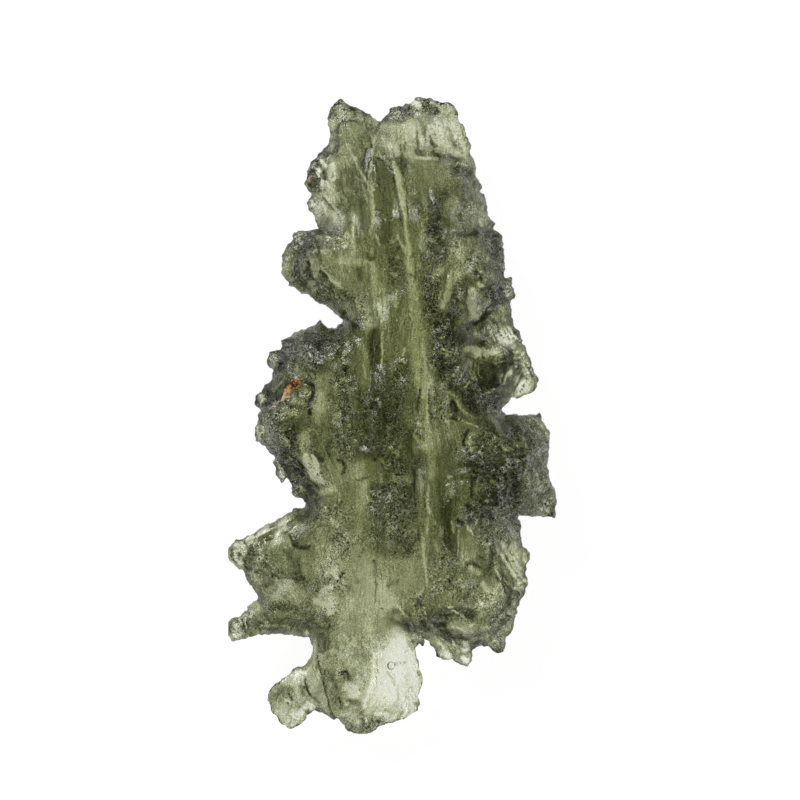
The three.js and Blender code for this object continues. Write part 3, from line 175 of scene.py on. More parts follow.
FINE_TONES = (
    # crown and the upper left of the body
    (42, 0.22, -3.3, 16.9, -3.2, 16.4), (46, 0.15, -2.25, 16.9, -2.2, 16.2),
    (66, 0.25, -2.6, 16.7, -2.4, 16.5), (40, 0.3, -1.5, 13.9, -1.4, 13.4),
    (68, 0.28, -3.3, 13.6, -3.3, 13.1), (62, 0.3, -3.4, 12.6, -3.2, 12), (42, 0.45, -2.7, 13, -2.5, 12.4),
    (30, 0.35, -4.2, 14.1, -4.5, 13.1, -4.3, 12.6), (34, 0.25, -3.7, 14.6, -4, 14.3),
    # Painted glints: small nearly white spots on the crown's left shoulder.
    (80, 0.09, -4, 14.1, -3.9, 13.95), (78, 0.09, -4.15, 13.6, -4.1, 13.2),
    (76, 0.08, -3.85, 13.9, -3.7, 13.7), (74, 0.08, -3.95, 12.9, -3.9, 12.5),
    (34, 0.09, -3.8, 13.4, -3.8, 13), (80, 0.18, -4.45, 11.7, -4.3, 11.4),
    (50, 0.2, -3.9, 11.7, -3.4, 11.4), (69, 0.06, -3.9, 12.2, -3.3, 11.5, -2.8, 10.9, -2.7, 10.5),
    (68, 0.08, -3.6, 12.5, -3.2, 12), (92, 0.14, -3.55, 10.55, -3.45, 10.35),
    (57, 0.1, -2.7, 12, -2.4, 11.3, -2.2, 10.5), (60, 0.14, -2.2, 11.4, -2.15, 9.6, -2.2, 8.4),
    (63, 0.07, -2.2, 14.3, -1.9, 13.6, -1.5, 12.9, -1.25, 12.3),
    (63, 0.07, -1.05, 15.2, -1.1, 14.2, -1.3, 13.4, -1.25, 12.8, -1.1, 12.3),
    (58, 0.08, -1.2, 12.2, -1.15, 11.4, -1.1, 10.3), (38, 0.2, -1.7, 11.8, -1.6, 10.2),
    (68, 0.22, -0.5, 15.1, -0.3, 14.9), (70, 0.26, 0, 14.7, 0.25, 14.4),
    (62, 0.16, -0.8, 14.4, -0.5, 14.15), (38, 0.35, 0.5, 13.95, 0.7, 13.7),
    (32, 0.3, 0.3, 16.85, 0.9, 16.65, 1, 16.95), (40, 0.2, 0.2, 16.3, 0.5, 16.3),
    (34, 0.25, 1.7, 17.3, 2, 17, 2.4, 16.8), (80, 0.2, 1.2, 17.2, 1.4, 17.1),
    (80, 0.12, 2.2, 17.3, 2.5, 17.25), (50, 0.08, 0.7, 15, 0.7, 14.5), (48, 0.09, 1.6, 16.2, 1.7, 15.5),
    (50, 0.1, 1.35, 15.3, 1.4, 14.8), (34, 0.18, 1.35, 14.5, 1.6, 14.35),
    (34, 0.1, 2.2, 14.42, 2.55, 14.25), (76, 0.09, 1.3, 14.1, 1.8, 14.15, 2.4, 14.05),
    (72, 0.18, 2.8, 14.7, 3, 14.3), (66, 0.25, 2.8, 13.9, 3.1, 13.9), (52, 0.09, 3.1, 15.8, 3.4, 15),
    (54, 0.08, 3.6, 15.4, 3.7, 14.6), (46, 0.12, 2.1, 15.1, 2.4, 14.8),
    # shoulders
    (28, 0.35, 3.7, 13.5, 4.3, 13.35), (66, 0.1, 3.8, 13.85, 4.1, 13.8), (34, 0.22, 4.3, 13.1, 4.55, 12.7),
    (38, 0.2, 4.4, 12, 4.9, 11.7), (36, 0.25, 2.9, 12.2, 2.6, 11.7), (62, 0.12, 3.3, 11.3, 3.25, 10.6),
    (68, 0.18, 4.1, 11.3, 4, 10.9), (86, 0.12, 4.85, 10.8, 4.9, 10.5), (80, 0.09, 4.45, 10.7, 4.4, 10.45),
    (55, 0.2, 5.3, 10.9, 5.4, 10.5), (76, 0.07, 3.4, 10.15), (76, 0.07, 3.8, 10.15),
    (66, 0.08, 1.85, 10.75), (38, 0.14, 3.4, 9.95, 4, 9.85, 4.7, 10.05), (56, 0.07, 2.95, 10.3, 2.85, 9.9),
    (66, 0.08, 2.75, 9.8), (64, 0.08, 2.4, 9.7),
    # the long ribbon
    (67, 0.1, 0.1, 13.8, 0.35, 13.2, 0.55, 12.3, 0.62, 11.4, 0.65, 10.8),
    (66, 0.18, 0.3, 13.1, 0.45, 12.5, 0.5, 11.6), (58, 0.11, 0.65, 10.8, 0.72, 10, 0.85, 9.4),
    (66, 0.08, 0.3, 9.8, 0.5, 9.3, 0.8, 8.8), (68, 0.2, 0.85, 9.2, 0.93, 8.4, 0.98, 7.7),
    (60, 0.22, 1, 7.6, 1.1, 6.8, 1.2, 6), (58, 0.32, 1.2, 6, 1.3, 5, 1.4, 4),
    (58, 0.42, 1.4, 4, 1.5, 3, 1.6, 2), (62, 0.28, 1.7, 2.6, 1.8, 2, 1.85, 1.2),
    (56, 0.16, 1.9, 1.2, 1.9, 0.4, 1.9, -0.2), (61, 0.2, 1.9, -0.5, 2.05, -1.5, 2.1, -2.2),
    (56, 0.16, 2.15, -2.2, 2.1, -3.2), (64, 0.09, 1.95, -3.8, 1.9, -4.6, 2, -5.3),
    (57, 0.09, 1.9, -5.6, 1.85, -6.4), (62, 0.07, 1.65, -6.6, 1.75, -7.6, 1.85, -8.6),
    (74, 0.04, 1.6, 3.9, 1.7, 3.1), (70, 0.04, 1.4, 3, 1.5, 2.6), (80, 0.06, 1.35, 6.4),
    (70, 0.07, 0.62, 3.6, 0.58, 3.3), (36, 0.07, 1.5, 1.5, 1.4, 0.8, 1.3, 0.4),
    (36, 0.06, 2, 1.4, 2, 0.6, 2.2, -0.3),
    # body above the waist
    (52, 0.2, 1.5, 10.8, 1.5, 9.6), (62, 0.12, -0.02, 9.45), (54, 0.15, 0.25, 8.65), (54, 0.15, 0.1, 7.7),
    (34, 0.2, -0.1, 8.5, 0.2, 8), (32, 0.25, -1.1, 9, -1.2, 8.6), (72, 0.06, -0.4, 8), (72, 0.05, 0.3, 5.2),
    (58, 0.1, -0.8, 7, -0.8, 6.2, -0.85, 5.4), (56, 0.08, -0.5, 7.2, -0.5, 6, -0.6, 5),
    (56, 0.15, 0.1, 6.5, 0.2, 6), (60, 0.25, -1.7, 5.9, -1.5, 5.4, -1.35, 5), (55, 0.1, -2, 6.6, -1.9, 6),
    (36, 0.16, -1.8, 8, -1.75, 7.5), (58, 0.06, -0.9, 9.8, -0.7, 9.3), (52, 0.2, -1.7, 10, -1.7, 9.4),
    (62, 0.08, -1.4, 6.7), (58, 0.16, 1.5, 8.2), (56, 0.14, -2.5, 10, -2.45, 9.4),
    # first left lobe
    (34, 0.15, -4.2, 10.15, -3.1, 10.1), (70, 0.12, -4.05, 9.85), (68, 0.12, -3.6, 9.85),
    (32, 0.2, -5.05, 9.5, -5.15, 8.8), (32, 0.2, -4.75, 8.2, -4.7, 7.5), (72, 0.08, -5.5, 9.5, -5.4, 9.3),
    (66, 0.13, -4.4, 8.9, -4.1, 8.4, -3.8, 8), (63, 0.11, -3.9, 8.1, -3.5, 7.7, -3.1, 7.3),
    (62, 0.2, -4.3, 8.5, -4.1, 8), (72, 0.08, -4.3, 9.42, -4.2, 9.35), (58, 0.09, -3.9, 9, -3.5, 8.7),
    (62, 0.08, -3.5, 7.7, -3.1, 7.2, -2.75, 7), (32, 0.1, -3.9, 7.9, -3.6, 7.6),
    (30, 0.05, -3.5, 7.5, -3.2, 7.12), (64, 0.18, -4.5, 7.25, -4.3, 6.9), (50, 0.07, -3.8, 7.1, -3.7, 6.5),
    (28, 0.15, -3.4, 7, -3.2, 6.6), (34, 0.2, -2.6, 6.5, -2.3, 6.1), (55, 0.06, -2.85, 6.7, -2.8, 6.5),
    # right lobe
    (32, 0.25, 2.9, 9.2, 2.7, 8.6), (61, 0.18, 3.6, 7.8, 3.15, 7.1, 2.9, 6.4),
    (64, 0.09, 3.2, 7.6, 3, 6.8, 2.75, 5.9), (56, 0.06, 2.65, 6.6, 2.65, 5.9), (54, 0.2, 2.4, 7.75, 2.7, 8),
    (55, 0.12, 3.7, 6.9, 3.7, 6.4), (52, 0.12, 3.8, 6), (26, 0.3, 3.3, 5.5, 3.1, 5),
    (37, 0.3, 4.1, 7.4, 4.5, 7.3), (56, 0.2, 5.2, 8.5), (22, 0.11, 4.5, 7.9, 4.8, 7.55, 4.95, 7.35),
    (98, 0.06, 4.88, 7.88), (68, 0.1, 4.7, 7.25, 4.95, 7.1), (52, 0.2, 5, 7.7, 5.1, 7.5),
    (70, 0.22, 4.4, 6.8, 4.3, 6.2, 4.5, 5.6, 4.4, 5.2), (68, 0.18, 4.6, 6, 4.75, 5.6),
    (44, 0.16, 4.8, 6.7, 4.9, 6.2), (20, 0.2, 5.5, 7.1, 6, 7),
    (27, 0.21, 6.2, 6.45, 5.4, 5.85, 4.8, 5.3, 4.2, 4.95, 3.6, 4.65), (60, 0.05, 5.9, 6.75, 5.7, 6.4),
    (76, 0.06, 6.2, 6.95, 6.35, 6.6), (60, 0.06, 6, 6.9, 6.1, 6.6), (26, 0.25, 5.6, 9.4, 5.7, 8.8),
    (58, 0.08, 5.3, 9.7, 5.3, 9.2), (30, 0.2, 5.1, 10, 5.8, 10.05), (36, 0.12, 5.5, 5.3, 5.7, 5.1),
    (74, 0.08, 6.2, 5.3), (82, 0.25, 5.7, 4.55, 6, 4.2, 6.4, 4), (80, 0.12, 6.1, 4.75, 6.5, 4.3),
    (78, 0.1, 6.4, 4.8, 6.6, 4.5), (32, 0.08, 6.65, 4.7, 6.9, 4.25), (56, 0.15, 6.9, 4.4, 7.1, 4.1),
    (68, 0.16, 4.6, 4.5, 5.2, 4.8), (74, 0.08, 4.7, 4.5), (34, 0.2, 4.4, 4.2, 5, 4),
    (67, 0.18, 4, 3.65, 4.5, 3.65, 5.2, 3.5, 6, 3.7, 6.6, 3.85), (70, 0.25, 5.1, 3.4, 4.7, 3.35),
    (24, 0.2, 3, 3.9, 3.6, 4.15, 4.2, 4.3), (56, 0.16, 2.4, 4.5), (60, 0.12, 2.8, 3.5, 3, 3.3),
    (24, 0.25, 2.9, 4.4, 3.2, 4.2),
    # hollow behind the right lobe
    (46, 0.12, 4.2, 2.95, 3.9, 2.5, 3.4, 2.3), (50, 0.05, 4.6, 2.9, 4.4, 2.3, 4.6, 1.9),
    (44, 0.04, 4.75, 2.8, 4.65, 2.3), (22, 0.4, 4.6, 1.7, 5.1, 2.4),
    (58, 0.06, 5.5, 3.05, 6.3, 3.35, 7, 3.4), (50, 0.05, 5.6, 2.9, 6.4, 3.15, 7.1, 3.2),
    (34, 0.05, 5.7, 3.2, 6.4, 3.5, 6.9, 3.5), (84, 0.1, 7.15, 3.45, 7.25, 3.35),
    (76, 0.2, 6.75, 2.6, 6.8, 2.2), (74, 0.12, 6.6, 1.9, 6.4, 1.4), (74, 0.14, 7.1, 1.8, 7.3, 1.45),
    (68, 0.2, 6.7, 1.3, 7, 1.2), (36, 0.05, 6.65, 2.6, 6.3, 1.9), (70, 0.06, 6.4, 2.6, 6.15, 2),
    (36, 0.05, 6.3, 2.7, 6, 2.1), (74, 0.05, 6.1, 1.8, 5.85, 1.4), (64, 0.05, 5.9, 2.2, 5.6, 1.6),
    (64, 0.05, 5.7, 2.4, 5.5, 2), (50, 0.2, 6.3, 1.1, 6.2, 0.8), (20, 0.3, 4.3, 0.7, 4.6, 0.3),
    (18, 0.2, 3.35, 0.75, 3.5, 0.5), (52, 0.1, 3, 1.3, 3.4, 1.1, 3.6, 0.6, 3.9, 0.2, 4.2, 0.05),
    (62, 0.08, 3.3, 0.25, 3.8, 0.1), (26, 0.2, 3.1, 1.6, 3.6, 1.5), (54, 0.1, 2.6, 2.2, 2.7, 1.4),
    (56, 0.14, 3.1, 2.4, 3.3, 2.7), (62, 0.1, 2.85, 0.75), (66, 0.09, 2.9, -0.2, 3, -0.45),
    (54, 0.2, 5.7, 0.1, 6.1, 0.3), (46, 0.2, 5.2, -0.2), (20, 0.12, 3.6, -0.2, 3.3, -0.1),
    # second left lobe
    (22, 0.25, -4.1, 4.3, -4, 3.8), (26, 0.2, -3.4, 4.2, -3.5, 4), (54, 0.13, -4.7, 3.7),
    (50, 0.12, -3.5, 3.5), (60, 0.07, -2.65, 3.6, -2.7, 3.1), (80, 0.3, -6.6, 3.25, -6.5, 2.85),
    (30, 0.2, -6.15, 3.4, -6.1, 2.6), (68, 0.08, -5, 2.5, -5.05, 2.3), (80, 0.12, -6.5, 2.2, -6.4, 1.95),
    (74, 0.06, -6.3, 1.95, -6.65, 1.35), (70, 0.05, -6.05, 1.85, -6.5, 1.4),
    (30, 0.3, -6.8, 0.9, -6.4, 0.9), (84, 0.13, -7.3, 1.15, -7.2, 0.8),
    (24, 0.06, -7.1, 1.45, -7.45, 1, -7.45, 0.7, -7.3, 0.4), (64, 0.13, -4.8, 1.4), (62, 0.12, -4.5, 1.2),
    (22, 0.12, -4.75, 1.85, -4.4, 1.7, -4.3, 1.3, -4.5, 0.9, -4.55, 0.6), (20, 0.12, -4.5, 0.3, -4.5, 0),
    (50, 0.2, -5.3, 0.85, -5, 0.75), (26, 0.06, -5.6, 0.55, -5.1, 0.5), (62, 0.13, -5.9, 0.4, -5.4, 0.3),
    (62, 0.16, -6.3, 0.35, -6.5, 0), (22, 0.3, -5.6, -1, -5.5, -1.6), (62, 0.06, -6, -0.8),
    (62, 0.14, -7.45, -0.7, -7.4, -1), (26, 0.06, -7.6, -0.7, -7.5, -1.25, -7.1, -1.6),
    (56, 0.12, -4.6, -0.8), (56, 0.25, -3.9, 1.1, -3.7, 0.6, -3.9, 0.2), (80, 0.16, -6.2, -3, -6.1, -3.5),
    (70, 0.14, -6.4, -2.4, -6.3, -2.7), (88, 0.2, -4.7, -2.3, -4.5, -2.9, -4.3, -3.3),
    (84, 0.12, -4.4, -2.3, -4.1, -2.9), (40, 0.05, -4.6, -2.2, -4.3, -2.8),
    (84, 0.1, -5.35, -2.55, -5.1, -2.85), (80, 0.11, -3.95, -3.35, -3.8, -3.6),
    (20, 0.12, -5.5, -2.85, -5.1, -3), (46, 0.12, -5.3, -3.35), (66, 0.13, -4.85, -3.5, -4.6, -3.7),
    (26, 0.15, -4.2, -2, -3.9, -2.4),
    # left of the waist
    (54, 0.16, -3.2, 1.6, -3.1, 1.2), (54, 0.13, -2.8, 1.95, -2.55, 2), (22, 0.13, -2.6, 2.7, -2.6, 2.4),
    (22, 0.1, -2.6, 1.2, -2.5, 0.8), (24, 0.1, -2.7, 0.2, -2.7, -0.2), (54, 0.13, -2.5, -0.1, -2.4, -0.5),
    (50, 0.2, -3.1, 0.4, -3.2, -0.2), (56, 0.18, -2.95, -2.8),
    (18, 0.06, -3, -2.42, -2.75, -2.5, -2.62, -2.75, -2.65, -3.1), (64, 0.2, -1.75, -2.7),
    (28, 0.06, -1.95, -3.5, -1.6, -3.35), (64, 0.12, -1.5, -3.9, -1.5, -4.4), (76, 0.05, -3.6, -3.7),
    (62, 0.05, -1.6, 2.9, -1.5, 2.4, -1.45, 2), (56, 0.1, -1.6, 3.8, -1.4, 3.2),
    # waist
    (22, 0.16, -1, 4.3, -1, 2.6), (62, 0.05, -0.5, 4.5, -0.55, 3.6, -0.6, 3),
    (60, 0.08, -0.65, 0.75, -0.6, 0.5), (24, 0.25, -0.4, 0.9, -0.4, 0.1),
    (22, 0.22, -0.9, -1.5, -0.7, -1.9), (56, 0.05, -0.65, -2.3, -0.5, -2.7),
    (56, 0.1, -0.65, -3.2, -0.6, -3.6), (22, 0.12, -1, -2.4), (58, 0.1, 0.3, -2), (54, 0.14, -0.05, -1.7),
    (50, 0.22, 0.1, -3.5, 0.9, -3.4), (56, 0.09, -0.3, -4.7), (60, 0.06, 0.05, -5.05), (22, 0.2, -0.5, -4),
    (22, 0.2, -0.6, -5.9, -0.6, -6.3), (54, 0.12, 1, -5.9, 1.15, -6.4), (30, 0.08, 1.45, -6.3, 1.4, -6.8),
    (50, 0.08, -0.3, -6.2, -0.2, -7.1), (26, 0.1, 0.9, -5.4), (54, 0.07, 1.1, -7.3, 1.2, -7.7),
    (74, 0.05, 0.45, -0.6), (70, 0.05, 0.35, -0.9), (22, 0.25, -0.2, -0.2),
    # olive band right of the waist
    (54, 0.2, 2.3, -0.9, 2.4, -2), (38, 0.2, 2.6, -3.4, 2.7, -4.3), (50, 0.1, 3, -3.8, 3.2, -4.4),
    (60, 0.1, 1.2, -1.05, 1.6, -1.6), (50, 0.2, 1.4, -0.3, 1.5, -0.7), (58, 0.1, 3.1, -3.4),
    (28, 0.2, 3, -5.2, 3, -6.2, 3, -7.2), (62, 0.05, 3.2, -5.7, 3.35, -6.4),
    (50, 0.14, 3.7, -4.9, 3.6, -5.4), (20, 0.14, 3.5, -5.75, 3.75, -5.85), (62, 0.12, 2.3, -5.85),
    (52, 0.1, 2.2, -6.7, 2.45, -7.4), (72, 0.05, 3, -4.6),
    # right block
    (22, 0.08, 4.15, -0.8, 3.95, -1, 3.85, -1.4, 3.95, -1.8), (62, 0.12, 4.2, -1.2, 4.25, -1.45),
    (50, 0.12, 4.55, -1.5, 4.3, -1.9), (22, 0.06, 5.3, -1.2, 5.8, -1.7, 6.2, -2.1, 6.5, -2.5, 6.9, -2.75),
    (54, 0.17, 5.3, -1.6), (56, 0.1, 4.55, -2.15), (58, 0.12, 6.8, -1.6), (54, 0.1, 5.1, -2.9),
    (58, 0.12, 5.55, -3.7), (50, 0.12, 5, -3.5), (52, 0.1, 4.6, -3.6), (50, 0.16, 6.3, -3.4),
    (48, 0.2, 7.2, -3.7, 7.3, -4.4), (60, 0.06, 6.9, -0.4, 7.3, -0.95), (54, 0.12, 7.2, -0.9, 7.1, -1.4),
    (64, 0.05, 8.1, -2.1, 8.4, -2.8), (60, 0.12, 8.3, -3.6), (62, 0.1, 7.9, -3.9), (64, 0.12, 8.4, -0.9),
    (66, 0.07, 6.1, -5.1), (70, 0.07, 6.5, -5), (18, 0.14, 4.2, -5.1, 4.05, -4.85), (16, 0.17, 4.2, -5.72),
    (56, 0.11, 4.3, -5.35), (18, 0.2, 5, -5.3, 5.4, -5.45), (18, 0.25, 5.9, -4.7, 6.1, -4.3),
    (95, 0.08, 4.35, -6.4), (74, 0.09, 4.1, -6.1, 4.3, -6.3), (56, 0.12, 5.7, -6.3, 6, -6.1),
    (66, 0.05, 5, -6.3), (22, 0.12, 5.1, -6.8), (66, 0.09, 5.7, -6.8), (72, 0.06, 4.9, -7, 5.4, -7.05),
    (40, 0.08, 4.6, -4.4),
    # lower right
    (84, 0.16, 6.5, -6.1, 6.8, -6.5), (78, 0.12, 6.4, -6.5, 6.6, -6.8), (70, 0.08, 6, -7, 6.9, -7.8),
    (70, 0.07, 6.6, -7, 7, -7.5), (44, 0.08, 6.2, -7.5, 6.7, -8.3), (44, 0.08, 5.9, -7.7, 6.5, -8.8),
    (66, 0.1, 6.7, -8.2, 7.1, -8.8), (36, 0.08, 6.5, -8.8, 6.8, -9), (64, 0.1, 6.1, -8.9, 6.7, -9.5),
    (88, 0.05, 5.5, -8, 5.7, -8.5, 5.95, -8.9), (56, 0.08, 5.3, -7.6, 5.5, -8),
    (34, 0.14, 5.5, -7.2, 5.6, -7.6), (60, 0.06, 3.8, -6.9, 3.85, -8.2), (28, 0.1, 4.05, -8.05, 4.6, -8.15),
    (22, 0.12, 4.65, -7.75, 4.9, -7.8), (32, 0.2, 5.2, -8.4, 5.6, -8.7), (24, 0.08, 2.7, -7.8),
    (66, 0.05, 4.8, -8.05), (60, 0.1, 4.9, -9.1, 5.4, -9.6), (64, 0.2, 5.8, -9.3, 6.1, -9.8),
    (64, 0.1, 4.35, -9.7), (66, 0.09, 4.7, -10, 5, -10.4), (60, 0.05, 3.7, -8.9, 3.85, -9.6),
    (62, 0.1, 3.35, -9.55), (62, 0.12, 2.1, -8.7), (60, 0.1, 2.3, -9.1), (54, 0.12, 2.85, -8.5),
    (60, 0.08, 1.65, -9.5, 1.2, -9.9), (34, 0.16, 1.5, -10, 1.4, -10.5), (22, 0.16, 3.1, -10.5, 3.7, -10.9),
    (54, 0.05, 3.3, -10.55, 3.9, -11), (22, 0.2, 2.4, -11.4, 2.8, -11.4),
    (26, 0.08, 6, -10.7, 6.5, -10.3, 6.9, -9.8), (24, 0.07, 5.6, -11.4, 5.95, -10.9, 6.4, -11),
    (22, 0.07, 6.6, -9.65, 7, -9.8), (40, 0.07, 6.2, -11.2, 6.3, -11.6), (44, 0.07, 2.4, -12, 3.4, -12.6),
    (70, 0.06, 2.3, -11.8, 3.2, -12.2), (68, 0.06, 3.2, -11.7, 4.4, -12), (46, 0.06, 3, -12, 4.2, -12.3),
    (86, 0.2, 4, -12.6, 4, -12.8), (86, 0.18, 2.8, -13, 3.1, -13.2), (86, 0.13, 3.9, -13.3, 4.1, -13.5),
    (50, 0.1, 3.7, -12.6, 3.6, -13.1), (90, 0.1, 4.3, -11.45), (54, 0.16, 4.7, -11.65, 5.2, -11.7),
    (28, 0.1, 5.5, -12.9, 5.9, -12.95), (62, 0.1, 5.7, -12.4), (34, 0.12, 6, -12.2),
    (28, 0.1, 4.5, -12.5, 4.8, -12.4),
    # foot of the body
    (42, 0.05, -0.95, -7.9, -0.95, -9, -0.95, -10.2), (28, 0.08, -1.05, -7.95), (24, 0.06, -0.55, -10.6),
    (30, 0.14, 0.4, -11.1, 0.5, -11.35), (44, 0.1, -0.2, -9.3, 0.3, -9), (32, 0.07, 0.25, -9.05),
    (70, 0.07, 0.28, -8.85), (62, 0.08, 0.4, -10.5, 0.8, -11.1, 1.1, -11.8),
    (26, 0.12, 1.6, -11.3, 1.85, -11.8), (70, 0.08, 1.6, -11.9), (62, 0.2, 1.2, -12.2, 1.4, -12.3),
    (36, 0.1, 1.1, -12.45), (36, 0.1, 1.6, -12.5), (64, 0.2, -1.4, -11.3, -1.3, -12),
    (46, 0.1, -2.4, -11.9, -2.3, -12.4), (70, 0.05, -1.5, -12.6, -1.3, -12.8),
    # left, below the waist
    (62, 0.16, -3.4, -5.7, -3, -6), (34, 0.12, -3.2, -6.8, -3, -6.5), (34, 0.1, -2.5, -7.3),
    (58, 0.14, -2.6, -6.6), (68, 0.07, -3.9, -4.8, -3.6, -5.2), (74, 0.16, -3.1, -8.4, -3.6, -8.7),
    (28, 0.08, -2.75, -8.7, -3, -9.05), (42, 0.16, -1.9, -9.1), (42, 0.2, -2.4, -9.5),
    (80, 0.13, -3.3, -10.2, -3.4, -10.8), (78, 0.16, -4.2, -10.1, -3.8, -10.3),
    (44, 0.12, -3.7, -9.2, -4, -9), (26, 0.1, -1.5, -6.4, -1.4, -6.8), (36, 0.05, -1.8, -7.8, -1.6, -7.3),
    # upper spike
    (70, 0.12, -5.9, -5.8, -7, -6.3, -8, -6.7), (50, 0.05, -6.4, -6.7, -7.6, -7), (38, 0.16, -5.1, -5.6),
    (30, 0.15, -4.7, -5.5, -4.65, -5), (32, 0.1, -4.2, -4.4, -4.15, -5), (60, 0.16, -4.6, -4.6),
    (66, 0.05, -4.9, -5.9), (72, 0.16, -8.6, -7.1, -8.2, -7.15), (26, 0.07, -8.85, -7.3, -8.85, -7.8),
    (26, 0.08, -8.35, -7.5, -8.15, -8), (74, 0.1, -8.6, -7.9, -8.3, -8.15),
    (46, 0.2, -7.9, -7.5, -7.7, -7.6), (68, 0.1, -7.3, -7.35), (80, 0.05, -7.1, -7.6, -7.25, -7.9),
    (30, 0.12, -7.2, -8.1, -6.8, -8.3), (34, 0.1, -7.9, -8.4, -7.5, -8.6), (72, 0.12, -7.8, -8.9),
    (24, 0.08, -6.8, -8.2, -6.6, -8.8), (28, 0.12, -5.4, -7.1, -4.9, -7.25, -4.6, -7.2),
    (26, 0.09, -5.6, -6.5, -5.5, -6.9), (26, 0.12, -5.2, -8.3, -4.9, -8.9),
    (30, 0.15, -5.9, -7.4, -5.7, -7.7), (64, 0.14, -5.9, -9.5, -5.5, -9.4), (44, 0.12, -6.7, -9.8),
    (58, 0.12, -4.6, -6.9),
    # lower spike
    (26, 0.2, -5.6, -10.7, -5.2, -11), (25, 0.2, -8.1, -11.4, -8.1, -11.7),
    (52, 0.07, -7.2, -11.55, -6.2, -11.5), (38, 0.1, -6.8, -11.75, -5.6, -11.8),
    (66, 0.13, -8.6, -11.5, -8.6, -12.1), (34, 0.07, -8.95, -11.4, -8.9, -12),
    (24, 0.2, -7.2, -11.3, -6.9, -11.2), (50, 0.05, -4.15, -11.2, -4.3, -11.5), (90, 0.13, -4.75, -11.95),
    (22, 0.1, -3.95, -12.95, -3.55, -12.75), (26, 0.16, -4, -12.3), (54, 0.16, -3.75, -11.95),
    (26, 0.2, -3.8, -11.4, -3.6, -11.6),
    # foot, left
    (64, 0.13, -4.3, -12.4, -4.25, -13, -4.3, -13.6), (68, 0.05, -3.1, -13.5, -2.5, -13.1),
    (44, 0.12, -2.8, -12.9), (38, 0.14, -3.6, -14.1, -3.7, -14.4), (26, 0.18, -3.6, -14.7, -3.2, -15),
    (22, 0.05, -2.95, -15.5, -2.9, -15.8), (22, 0.07, -2.85, -14.1, -2.5, -14.05, -2.3, -14.35),
    (36, 0.16, -2.7, -14.3, -2.4, -14.4), (70, 0.18, -2.2, -15), (42, 0.2, -2.4, -15.7, -1.95, -15.8),
    (66, 0.12, -2.5, -15.85), (24, 0.06, -4.8, -14.1, -4.8, -14.6, -4.65, -15.2, -4.5, -15.4),
    (40, 0.13, -5, -14.9, -4.9, -15.3), (32, 0.05, -4.5, -15.4, -4.2, -15.7, -4, -15.8),
    (74, 0.06, -4.6, -15.8, -4.3, -16), (50, 0.25, -5.9, -15.3, -6.4, -15.4),
    (28, 0.06, -5.65, -15.3, -5.55, -15.6, -5.8, -15.85), (84, 0.06, -5.8, -15.65), (52, 0.15, -5.6, -16),
    (74, 0.2, -5.5, -16.4, -5.2, -16.6), (60, 0.1, -6.6, -16), (26, 0.06, -3.4, -16.4, -3.1, -16.7),
    # clear window
    (94, 0.2, -0.6, -14.3, -0.5, -15.2), (60, 0.05, -0.6, -12.8, -0.3, -12.6),
    (70, 0.06, -1.1, -13, -1.15, -13.8), (92, 0.07, -1, -13.2, -1.05, -14.2),
    (66, 0.08, 0.3, -14.9, 0.3, -15.6, 0.2, -16.1), (70, 0.07, 0.1, -14.2, 0.15, -14.7),
    (92, 0.1, 0.6, -15.6, 0.7, -16.3), (66, 0.06, 0.9, -14.8, 0.9, -16),
    (36, 0.12, -0.5, -16.9, -0.8, -16.85), (38, 0.18, -1.2, -17.1, -1.7, -17.35),
    (38, 0.12, -2.2, -17.1, -2.4, -17), (78, 0.12, -1.9, -16.9),
    (30, 0.05, -1.75, -16.7, -1.6, -16.9, -1.6, -17.1), (50, 0.12, -2.6, -16.8),
    (50, 0.14, 1.3, -15.9, 1.5, -15.8), (60, 0.1, 0.9, -12.5, 1.1, -12.8),
    # finer: upper body, left and middle
    (36, 0.36, -0.55, 13.6, -0.45, 12, -0.3, 10.2), (62, 0.04, -0.5, 12.3), (62, 0.04, -0.6, 11.2),
    (66, 0.05, -0.35, 10.7), (62, 0.04, -0.8, 11.9), (60, 0.04, -0.1, 10.3),
    (62, 0.1, -3.4, 16.1, -3.35, 15.3), (60, 0.35, -2.7, 14, -2.3, 13.9),
    (74, 0.05, -1, 15.3, -1.05, 14.4, -1.2, 13.8, -1.3, 13.3, -1.25, 12.8, -1.12, 12.3,
     -1.05, 11.5, -1.1, 10.6),
    (28, 0.05, -1.15, 14.9, -1.25, 14, -1.42, 13.4, -1.38, 12.9),
    (33, 0.14, -1.4, 14.6, -1.5, 13.9, -1.5, 13.5),
    (72, 0.05, -2.25, 14.35, -1.95, 13.8, -1.65, 13.2, -1.4, 12.8, -1.22, 12.4),
    # Painted glints: the nearly white spots and flecks on the crown's left shoulder.
    (62, 0.04, -1.75, 12.9, -1.5, 12.2, -1.35, 11.6), (92, 0.18, -3.35, 13.7, -3.25, 13.1),
    (95, 0.06, -3.95, 14.1, -3.85, 13.95), (95, 0.06, -4.05, 13.5, -4.1, 13.2),
    (92, 0.05, -3.75, 13.85, -3.65, 13.65), (90, 0.05, -3.9, 12.95, -3.85, 12.6),
    (88, 0.05, -3.6, 12.9, -3.5, 12.6), (26, 0.06, -3.8, 13.5, -3.75, 13),
    (28, 0.08, -4.15, 14.4, -3.8, 14.6), (72, 0.28, -3.9, 11.6, -3.5, 11, -3.1, 10.7),
    (97, 0.12, -4.5, 11.75, -4.35, 11.35), (100, 0.12, -3.55, 10.5, -3.45, 10.3),
    (48, 0.04, -3.95, 12.2, -3.3, 11.4, -2.85, 10.9), (84, 0.05, -3.8, 12.2, -3.2, 11.45, -2.75, 10.85),
    (82, 0.18, 0.05, 14.8, 0.3, 14.4), (40, 0.05, 0.42, 14.9, 0.5, 14.4),
    (74, 0.22, -0.55, 15.2, -0.3, 14.9), (78, 0.05, -0.75, 14.5, -0.5, 14.2),
